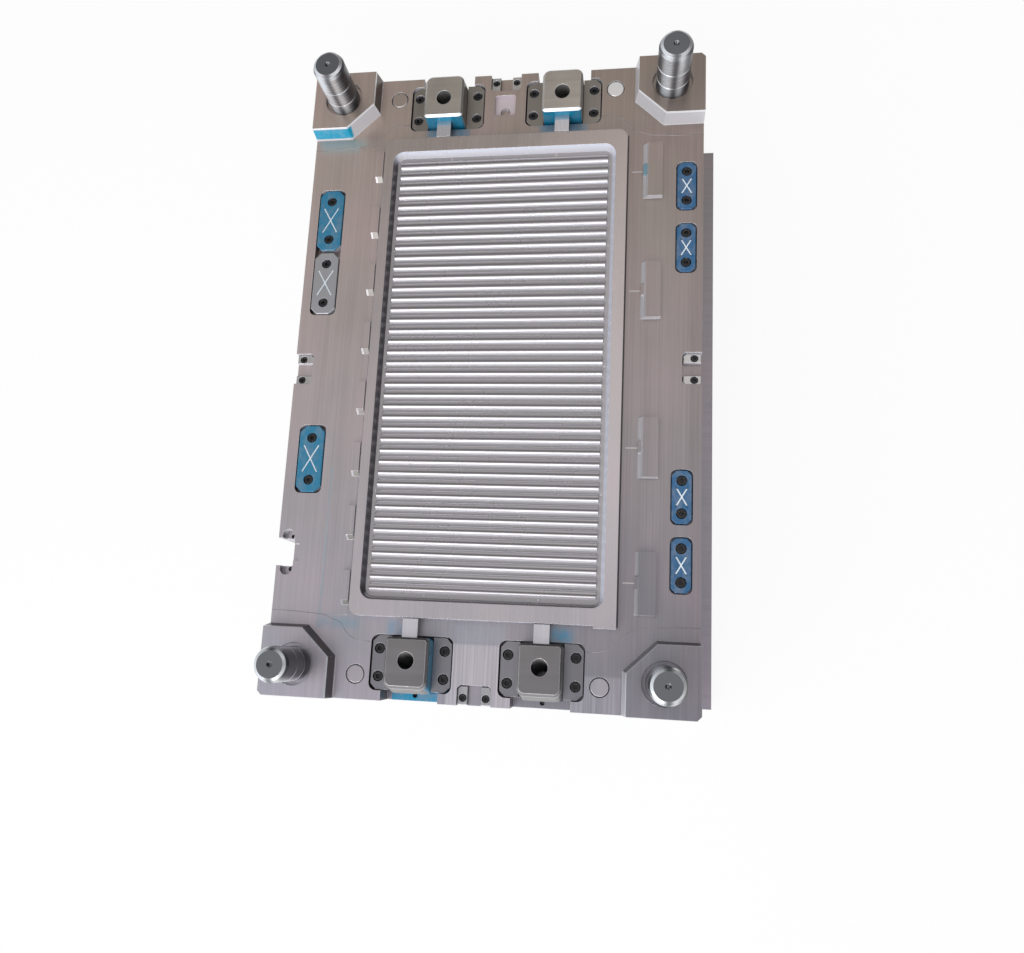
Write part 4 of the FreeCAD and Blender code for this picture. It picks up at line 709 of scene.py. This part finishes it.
@dataclass
class CorePlate:
    """The B plate: its milled face, its ink, its fine lines and the light and shade painted on it."""

    warm: Colour = srgb(168, 153, 142)
    cool: Colour = srgb(143, 142, 151)
    boss_wide: float = 101.5
    boss_long: float = 99.5
    boss_top: float = 23
    runner_lines: tuple[float, ...] = (305.2, 116.7)
    line_width: float = 0.9 * MM
    line_height: float = 0.12 * MM
    arc_radius: float = 36 * MM
    arc_x: float = 160 * MM
    arc_y: float = 400 * MM

    def boss_edge_highlights(self) -> list[Patch]:
        """Painted highlights on the edges of the corner bosses.

        Returns:
            Painted highlights along the top and the foot of the boss walls, alike in every corner.
        """
        end_x, end_y = PLACES.half_width / MM, PLACES.half_length / MM
        x, y, top = end_x - self.boss_wide, end_y - self.boss_long, self.boss_top
        brow = region((x - 1, end_x), (y - 1, end_y), (top - 3.2, top + 1))
        foot = region((x - 2, end_x), (y - 2, end_y), (-1, 2.6))
        # painted highlights along the boss brows and feet
        return [Patch(*brow, PAINTED_HIGHLIGHT, 0.9, 0.5 * MM, 0.0, Side.WALL, True),
                Patch(*foot, srgb(214, 216, 222), 0.7, 0.5 * MM, 0.3, Side.WALL, True)]

    def ink(self) -> list[Patch]:
        """Spotting ink.

        Returns:
            Patches on one boss wall, round the slide tongues, and smeared on the face.
        """
        line = PLACES.slide_x / MM
        boss_wall = region((-301, -238), (376, 392), (2, 20.5))
        boss_foot = region((-298, -210), (352, 384), ON_FACE)
        upper_right = region((line - 38, line + 40), (362, 396), IN_WAY)
        upper_left = region((-line - 34, -line + 40), (362, 396), IN_WAY)
        lower_right = region((line + 4, line + 46), (-396, -366), (-4, 2))
        lower_left = region((-line - 40, -line - 10), (-394, -366), (-4, 2))
        way_end = region((-125, -35), (-482, -452), (-40, -15))
        smear = region((-235, -165), (-388, -362), (-1, 3))
        land_edge = region((-230.5, -225.5), (-385, -150), (-1, 2))
        pad_tab = region((208, 223), (294, 316), (1, 9))
        way_side = region((45, 75), (385, 410), (-40, 1))
        return [
            Patch(*boss_wall, INK_BRIGHT, 1.0, 1.5 * MM, 0.15, Side.WALL),
            Patch(*boss_foot, srgb(128, 164, 168), 0.5, 12 * MM, 0.3),
            Patch(*upper_right, INK, 0.95, 5 * MM, 0.45),
            Patch(*upper_left, INK, 0.95, 5 * MM, 0.45),
            Patch(*lower_right, INK, 0.7, 12 * MM, 0.9),
            Patch(*lower_left, INK, 0.4, 8 * MM, 0.8),
            Patch(*way_end, INK, 0.95, 2 * MM, 0.5),
            Patch(*smear, srgb(84, 146, 168), 0.5, 9 * MM, 1.0),
            Patch(*land_edge, srgb(128, 156, 170), 0.45, 1 * MM, 0.8),
            Patch(*pad_tab, srgb(90, 138, 156), 0.8, 3 * MM, 0.3),
            Patch(*way_side, INK, 0.7, 4 * MM, 0.5)]

    def wear_and_painted_light(self) -> list[Patch]:
        """Marks of cutting and handling on the face, with light and shade painted on it.

        Returns:
            Patches on the cleats' ramps, a painted highlight on the gate pads' sloping sides, the fly-cut
            strips with a painted sheen on the middle one, painted shade over the lower right and in the seam
            beside the insert, the port's floor and the runners' scratches.
        """
        left, right = PLACES.insert_low.x / MM, PLACES.insert_high.x / MM
        ramps = region((left - 14, left + 2), (-365, 365), (0.3, 14))
        lit_pad_slopes = region((208, 217.5), (-365, 365), (0.4, 14))
        middle_strip_sheen = region((-40, 56), (-482, -396), ON_FACE)
        strip_head = region((-34, 44), (-401, -366), ON_FACE)
        right_strip = region((100, 200), (-482, -430), ON_FACE)
        shade = region((50, 301), (-470, -150), (-1, 24))
        insert_seam_shade = region((right - 0.2, right + 2.6), (-366, 366), ON_FACE)
        port = region((-16.5, 16.5), (409, 445), (-7, -0.6))
        runners = [region((right + 7, 212.5), (y - 1, y + 1), ON_FACE) for y in self.runner_lines]
        return [
            Patch(*ramps, srgb(146, 142, 136), 0.85, 0.6 * MM, side=Side.WALL),
            # painted highlight on the gate pads' left sides, which look to the window
            Patch(*lit_pad_slopes, srgb(226, 224, 228), 0.7, 0.6 * MM, 0.3, Side.WALL),
            # the middle fly-cut strip, its cutting marks lightened by a painted sheen
            Patch(*middle_strip_sheen, srgb(196, 191, 198), 0.55, 3 * MM, 0.0, Side.UP, streaked=0.45),
            Patch(*strip_head, srgb(150, 158, 166), 0.4, 8 * MM, 0.6),
            Patch(*right_strip, srgb(182, 179, 188), 0.4, 4 * MM, 0.0, Side.UP, streaked=0.6),
            Patch(*shade, srgb(104, 105, 112), 0.85, 120 * MM),
            # painted shade in the seam beside the insert
            Patch(*insert_seam_shade, DEEP_SHADE, 0.9, 0.7 * MM),
            Patch(*port, srgb(200, 188, 194), 0.85, 0.8 * MM),
            *(Patch(*runner, srgb(196, 192, 190), 0.8, 0.4 * MM, mirrored=True) for runner in runners)]

    def section(self) -> np.ndarray:
        """Section of a fine raised line.

        Returns:
            Corners of a half ellipse, width times cos and height times sin, closed below the face.
        """
        turn = np.linspace(0, math.pi, 6)
        top = np.stack([np.cos(turn) * self.line_width / 2, np.sin(turn) * self.line_height], 1)
        sunk = np.array([[-self.line_width / 2, -0.3 * MM], [self.line_width / 2, -0.3 * MM]])
        return np.vstack([top, sunk])

    def step_line(self, sx: int, sy: int) -> np.ndarray:
        """The fine step that the cutter left round a corner boss.

        Args:
            sx: side of the boss, -1 or 1.
            sy: end of the boss, -1 or 1.

        Returns:
            A level path from the slide's pocket, then nearly a quarter of an arc that drops clear of
            the boss, then straight out to the plate's side.
        """
        radius = self.arc_radius
        turn = np.linspace(math.pi / 2, 0.35, 16)
        x = np.concatenate([[self.arc_x - 9 * MM], self.arc_x + radius * np.cos(turn),
                            [222 * MM, 262 * MM, PLACES.half_width]])
        y = np.concatenate([[self.arc_y], self.arc_y - radius + radius * np.sin(turn),
                            [365.5 * MM, 362.5 * MM, 361.5 * MM]])
        path = np.stack([sx * x, sy * y, np.full(x.shape, PLACES.parting)], 1)
        return path if sx * sy > 0 else path[::-1]

    def build(self) -> None:
        """Dress the plate and lay the step lines round the bosses."""
        # across gives a painted sheen over the plate, lighter towards the left and darker towards the right
        milled = Steel("plate_steel_milled", self.warm, self.cool, 0.36, across=-0.28, mark_size=2.3 * MM,
                       streak=0.36, painted_wall_light=srgb(216, 217, 224),
                       patches=tuple(self.wear_and_painted_light() + self.boss_edge_highlights() + self.ink()))
        paint(["b_plate"], milled.material())
        points, faces = [], []
        for sx, sy in CORNERS.values():
            line = carry(self.step_line(sx, sy), self.section())
            faces += tube_faces(line.shape[0], line.shape[1], sum(len(part) for part in points))
            points.append(line.reshape(-1, 3))
        piece = mesh_object("cutter_step_lines", np.concatenate(points), faces)
        line_steel = Steel("step_line_steel", srgb(118, 106, 98), srgb(112, 112, 122), 0.5)
        dress(piece, line_steel.material(), "mould")


@dataclass
class RibbedInsert:
    """The core insert: milled rim, polished ribs and tray wall."""

    rim: Colour = srgb(170, 158, 150)
    rim_low: Colour = srgb(174, 170, 176)
    tray_floor: float = 6

    def build(self) -> None:
        """Dress the insert: everything below its rim and inside the tray is polished."""
        left, right, floor = PLACES.insert_low.x / MM, PLACES.insert_high.x / MM, self.tray_floor
        tray = Patch(*region((left + 10, right - 10), (-345, 345), (floor, floor + 6.5)), srgb(166, 163, 165),
                     0.85, 1 * MM, side=Side.UP)
        ribs = region((left + 19, right - 22), (0, 0), (floor + 0.6, floor + 8))
        # painted shade, a painted lighter flank and a painted highlight on every rib, set by the way its
        # surface leans
        glints = (Glint(*ribs, srgb(92, 88, 91), -0.14, 0.40, 0.0),
                  Glint(*ribs, srgb(206, 202, 206), 0.74, 0.64),
                  Glint(*ribs, srgb(210, 207, 211), -0.70, 0.36))
        # across gives a slight painted sheen, lighter towards the left
        steel = Steel("insert_steel_ribbed", self.rim, self.rim_low, 0.28, streak=0.12, band=0.10,
                      mark_depth=0.02, mark_size=2.3 * MM, painted_wall_light=srgb(222, 227, 242),
                      painted_wall_shade=srgb(92, 90, 92), wall_from=0.5, wall_to=0.97,
                      calm_below=PLACES.insert_high.z - 0.6 * MM, tint=0.10, edge=0.35, across=-0.05,
                      patches=(tray,), glints=glints)
        paint(["core_insert"], steel.material())


@dataclass
class GuidePins:
    """The four guide pins."""

    # painted bands of highlight and shade down the pins' sides, by how far the surface leans left or right
    shine: tuple[tuple[Colour, float, float], ...] = (
        (srgb(70, 70, 76), -0.95, 0.35), (srgb(212, 218, 224), -0.46, 0.34), (srgb(98, 100, 104), 0.02, 0.24),
        (srgb(196, 198, 200), 0.36, 0.22), (srgb(58, 58, 62), 0.85, 0.42))

    def build(self) -> None:
        """Dress the pins in turned and ground steel, with upright bands of light and shade."""
        pins = ((-1.0, 0, PLACES.parting), (1.0, 0, 1.0))
        bands = tuple(Glint(*pins, colour, lean, half, 0.0, 0) for colour, lean, half in self.shine)
        steel = Steel("guide_pin_steel", srgb(206, 200, 204), srgb(230, 230, 234), 0.28, 0.62,
                      marks=Marks.ROUND, mark_size=0.9 * MM, mark_depth=0.015, streak=0.10, band=0.12,
                      mottle=0.05, tint=0.0, painted_wall_light=srgb(160, 162, 168), painted_wall_shade=srgb(96, 98, 104),
                      wall=0.8, dull=0.4, edge=0.6, glints=bands)
        paint([f"guide_pin_{corner}" for corner in CORNERS], steel.material())


@dataclass
class SlideUnits:
    """The four slides with their tongues, gibs, bearing plates and detents."""

    chamfer_foot: float = 26.6

    def fronts(self) -> tuple[Patch, ...]:
        """Ink, darker heels and painted highlights on the slide bodies.

        Returns:
            Patches for the upper slides' inked fronts and the painted highlight on their chamfers, the lower
            slides' dark heels, and one inked side.
        """
        front, foot = PLACES.slide_low.y / MM, self.chamfer_foot
        inked = region((-125, 125), (front - 1, front + 2.6), (-40, foot))
        chamfer = region((-125, 125), (front - 1, front + 3.6), (foot, 31))
        heels = region((-130, 130), (-490, -440), (-40, 24))
        inked_side = region((-66, -52), (-475, -385), (-40, 24))
        return (Patch(*inked, INK, 1.0, 0.6 * MM, 0.25),
                # painted highlight on the upper slides' chamfers
                Patch(*chamfer, PAINTED_HIGHLIGHT, 1.0, 0.3 * MM, side=Side.WALL),
                Patch(*heels, srgb(84, 82, 84), 0.8, 2 * MM, 0.3, Side.WALL),
                Patch(*inked_side, INK, 0.8, 3 * MM, 0.4))

    def build(self) -> None:
        """Dress the slides: satin steel, bright tongues, ink on the upper fronts."""
        body = Steel("slide_steel", srgb(176, 168, 158), srgb(108, 106, 109), 0.3, marks=Marks.ACROSS,
                     streak=0.12, band=0.3, mottle=0.3, painted_wall_shade=srgb(72, 70, 70),
                     painted_wall_light=srgb(150, 149, 150), patches=self.fronts(), edge=1.0, edge_radius=1.3 * MM,
                     mark_depth=0.04, tint=0.0)
        paint([f"slide_body_{corner}" for corner in CORNERS], body.material())
        gib = Steel("gib_steel", srgb(140, 132, 124), srgb(120, 119, 125), 0.34, edge=0.7, mark_depth=0.04,
                    streak=0.12, mottle=0.2, tint=0.0)
        paint([f"gibs_{corner}" for corner in CORNERS], gib.material())
        tongue = Steel("tongue_steel", srgb(196, 192, 194), srgb(192, 190, 196), 0.24, mottle=0.10,
                       streak=0.14, tint=0.0, edge=0.9)
        paint([f"slide_core_{corner}" for corner in CORNERS] + ["slide_detents"], tongue.material())


@dataclass
class BalanceBlocks:
    """The balance blocks with crossed oil grooves, most of them wiped with blue."""

    groove_end: float = 26
    groove_side: float = 3

    def block(self, name: str, nodes: Sequence[str], ink: Colour, cover: float) -> None:
        """Dress some blocks: groove floors stay bright because they lie below the inked face.

        Args:
            name: the finish's name.
            nodes: the blocks.
            ink: colour of the ink on their faces.
            cover: how fully it covers them.
        """
        patches = []
        for node in nodes:
            low, high = (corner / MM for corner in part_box(node))
            top = high.z - PLACES.parting / MM
            face = region((low.x - 1, high.x + 1), (low.y - 1, high.y + 1), (top - 3, top + 1))
            grooves = region((low.x + self.groove_side, high.x - self.groove_side),
                             (low.y + self.groove_end, high.y - self.groove_end), (top - 4, top - 0.35))
            patches += [Patch(*face, ink, cover, 0.5 * MM, 0.3),
                        Patch(*grooves, srgb(226, 234, 240), 1.0, 0.2 * MM)]
        steel = Steel(name, srgb(156, 154, 154), srgb(150, 150, 154), 0.34, 0.7, painted_wall_shade=DEEP_SHADE, edge=0.45,
                      mottle=0.25, tint=0.0, patches=tuple(patches))
        paint(nodes, steel.material())

    def build(self) -> None:
        """Dress the blocks and the side lock plates."""
        light, deep, bare = srgb(22, 116, 152), srgb(20, 86, 130), srgb(150, 152, 158)
        self.block("block_light_blue", ["wear_plate_left_1", "wear_plate_left_3"], light, 0.95)
        self.block("block_deep_blue", [f"wear_plate_right_{k}" for k in range(1, 5)], deep, 0.95)
        self.block("block_bare", ["wear_plate_left_2"], bare, 0.4)
        lock = Steel("side_lock_steel", srgb(190, 184, 178), srgb(156, 156, 160), 0.3, mottle=0.10, edge=0.5,
                     tint=0.0)
        paint([f"side_lock_{side}" for side in ("top", "bottom", "left", "right")], lock.material())


@dataclass
class ReturnSprings:
    """Return springs wound of flat wire, with closed and ground ends."""

    outside: float = 50 * MM / 2
    wire_wide: float = 9 * MM
    wire_tall: float = 6 * MM
    turns: float = 7.0
    corner: float = 1.2 * MM
    steps_in_turn: int = 40
    ease: float = 0.55
    pin_head: float = 33 * MM / 2
    shortest: float = 0.55

    def coil(self, centre: tuple[float, float], low: float, high: float) -> np.ndarray:
        """One wound spring.

        Args:
            centre: the pin's axis, x and y.
            low: height of its lower end.
            high: height of its upper end.

        Returns:
            An array steps x section x 3.  The wire's height over its turn t is eased at both ends,
            t - ease * sin(2 pi t) / (2 pi), so the end coils close up as ground ends do; the section
            is a rectangle with cut corners.
        """
        t = np.linspace(0, 1, int(self.turns * self.steps_in_turn))
        angle = 2 * math.pi * self.turns * t
        rise = t - self.ease * np.sin(2 * math.pi * t) / (2 * math.pi)
        height = low + self.wire_tall / 2 + (high - low - self.wire_tall) * rise
        wide, tall, cut = self.wire_wide / 2, self.wire_tall / 2, self.corner
        section = np.array([
            (wide, cut - tall), (wide, tall - cut), (wide - cut, tall), (cut - wide, tall),
            (-wide, tall - cut), (-wide, cut - tall), (cut - wide, -tall), (wide - cut, -tall)])
        radius = self.outside - wide + section[None, :, 0]
        x = centre[0] + radius * np.cos(angle)[:, None]
        y = centre[1] + radius * np.sin(angle)[:, None]
        return np.stack([x, y, height[:, None] + section[None, :, 1]], -1)

    def build(self) -> None:
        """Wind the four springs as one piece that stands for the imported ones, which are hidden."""
        low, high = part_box("return_springs")
        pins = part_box("return_pins")
        x = (pins[1].x - pins[0].x) / 2 - self.pin_head
        y = (pins[1].y - pins[0].y) / 2 - self.pin_head
        coils = [self.coil((sx * x, sy * y), low.z, high.z) for sx, sy in CORNERS.values()]
        faces = []
        for number, coil in enumerate(coils):
            faces += tube_faces(coil.shape[0], coil.shape[1], number * coil.shape[0] * coil.shape[1])
        points = np.concatenate([coil.reshape(-1, 3) for coil in coils])
        piece = mesh_object("return_spring_coils", points, faces, False)
        enamel = Coated("spring_enamel", srgb(36, 92, 168), srgb(150, 150, 155), 0.32, 0.0, 0.25)
        dress(piece, enamel.material(), "mould")
        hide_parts("return_springs")
        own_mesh(piece)


@dataclass
class HiddenStack:
    """Clamp plate, spacers, ejector set and the posts between them."""

    def build(self) -> None:
        """Dress the plates and turned parts of the stack."""
        plate = Steel("stack_steel", srgb(140, 134, 134), srgb(140, 136, 146), 0.4, marks=Marks.ACROSS)
        paint(["clamp_plate", "spacer_block_left", "spacer_block_right", "ejector_plate",
               "ejector_retainer_plate"], plate.material())
        turned = Steel("turned_steel", srgb(178, 176, 174), srgb(172, 172, 176), 0.28, marks=Marks.ROUND,
                       mottle=0.08)
        paint(["ejector_pins", "ejector_guide_pins", "stack_dowels", "support_pillars", "stop_buttons",
               "stroke_limit_posts"], turned.material())
        ground_end = Patch(*region((150, 190), (420, 470), (-1, 5)), srgb(214, 212, 210), 0.9, 1 * MM)
        ends = Steel("return_pin_steel", srgb(168, 154, 142), srgb(160, 157, 165), 0.34,
                     patches=(ground_end,))
        paint(["return_pins"], ends.material())
        bronze = Coated("bronze_bearing", srgb(176, 132, 70), srgb(220, 180, 110), 0.34, 0.9)
        paint(["ejector_bushes", "slide_wear_plates"], bronze.material())


@dataclass
class Screws:
    """Every socket head screw."""

    def build(self) -> None:
        """Dress the screws in black oxide."""
        black = Coated("black_oxide", srgb(36, 36, 38), srgb(136, 136, 140), 0.36, 0.55, 0.8)
        names = [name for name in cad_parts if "screw" in name]
        paint(names, black.material())


# ---------------------------------------------------------------- stage, light and camera

@dataclass
class Studio:
    """Floor, soft light and camera."""

    floor_half: float = 6.0
    floor_glow: float = 0.9
    key_power: float = 42.0
    fill_power: float = 10.0
    window_way: Point = (-0.28, -0.88, 0.38)
    sky_levels: tuple[Span, ...] = ((0.0, 0.16), (0.30, 0.24), (0.46, 0.52), (0.62, 0.80), (0.85, 1.0))
    sky_blue: float = 1.01
    lens: float = 27.63
    shift: Span = (0.0105, 0.0339)
    eye_over_face: Point = (0.1857, -0.3964, 1.0786)
    eye_turn: Point = (0.172, 0.143, 0.037)

    def floor(self) -> None:
        """A wide pale floor that stays white for the eye and keeps the object's soft shadow."""
        r = self.floor_half
        corners = np.array([(-r, -r, 0), (r, -r, 0), (r, r, 0), (-r, r, 0)], float)
        plane = mesh_object("floor", corners, [(0, 1, 2, 3)], False)
        graph = Graph("floor_white")
        path = graph.node("ShaderNodeLightPath")
        camera, glossy, through = (Field(graph, path.outputs[f"Is {kind} Ray"])
                                   for kind in ("Camera", "Glossy", "Transmission"))
        seen = camera.high(glossy).high(through)
        pale = graph.node("ShaderNodeBsdfDiffuse", None, {"Color": (0.86, 0.86, 0.86)})
        glow = graph.node("ShaderNodeEmission", None, {"Color": (1.0, 1.0, 1.0), "Strength": 1.0})
        mixed = graph.node("ShaderNodeMixShader", None, {
            0: seen * self.floor_glow, 1: pale.outputs[0], 2: glow.outputs[0]})
        graph.node("ShaderNodeOutputMaterial", None, {"Surface": mixed.outputs[0]})
        plane.data.materials.append(graph.holder)

    def lamp(self, name: str, place: Point, size: Span, power: float) -> None:
        """Add a soft lamp aimed at the parting face.

        Args:
            name: the lamp's name.
            place: where it hangs, in metres.
            size: width and height of its panel.
            power: its power in watts.
        """
        data = bpy.data.lights.new(name, "AREA")
        data.shape = "RECTANGLE"
        data.size, data.size_y = size
        data.energy = power
        lamp = bpy.data.objects.new(name, data)
        lamp.location = place
        aim = Vector((0, 0, PLACES.parting)) - Vector(place)
        lamp.rotation_euler = aim.to_track_quat("-Z", "Y").to_euler()
        bpy.context.scene.collection.objects.link(lamp)

    def sky(self) -> None:
        """Soft room light: brighter from the lower left, where the window is, darker from beyond."""
        graph = Graph("room", world=True)
        where = graph.node("ShaderNodeTexCoord")
        turn = graph.node("ShaderNodeVectorMath", {"operation": "DOT_PRODUCT"},
                          {0: where.outputs["Generated"], 1: self.window_way})
        to_window = Field(graph, turn.outputs["Value"]) * 0.5 + 0.5
        stops = [(place, (level, level, level * self.sky_blue)) for place, level in self.sky_levels]
        ramp = graph.node("ShaderNodeValToRGB", {"stops": stops}, {"Fac": to_window})
        light = graph.node("ShaderNodeBackground", None, {"Color": ramp.outputs[0], "Strength": 1.0})
        graph.node("ShaderNodeOutputWorld", None, {"Surface": light.outputs[0]})
        bpy.context.scene.world = graph.holder

    def camera(self) -> None:
        """The viewpoint: above the parting face, over its lower right quarter, tilted to see it whole."""
        data = bpy.data.cameras.new("camera")
        data.sensor_width = 36.0
        data.lens = self.lens
        data.shift_x, data.shift_y = self.shift
        data.clip_end = 50.0
        camera = bpy.data.objects.new("camera", data)
        turn = Vector(self.eye_turn)
        eye = Vector(self.eye_over_face) + Vector((0, 0, PLACES.parting))
        camera.matrix_world = Matrix.Translation(eye) @ Matrix.Rotation(turn.length, 4, turn.normalized())
        bpy.context.scene.collection.objects.link(camera)
        bpy.context.scene.camera = camera

    def build(self) -> None:
        """Set the stage."""
        self.floor()
        self.sky()
        self.lamp("window", (-0.9, -2.2, 2.0), (2.6, 1.6), self.key_power)
        self.lamp("ceiling", (0.6, 1.0, 2.8), (2.2, 2.2), self.fill_power)
        self.camera()
        bpy.context.scene.view_settings.view_transform = "Standard"


def main() -> None:
    """Build every sub-assembly's looks, the stage and the camera, logging each as it is done."""
    logging.basicConfig(level=logging.INFO, format="%(message)s")
    for part in (CorePlate(), RibbedInsert(), GuidePins(), SlideUnits(), BalanceBlocks(), ReturnSprings(),
                 HiddenStack(), Screws(), Studio()):
        part.build()
        LOG.info("%s done", type(part).__name__)


if __name__ == "__main__":
    main()
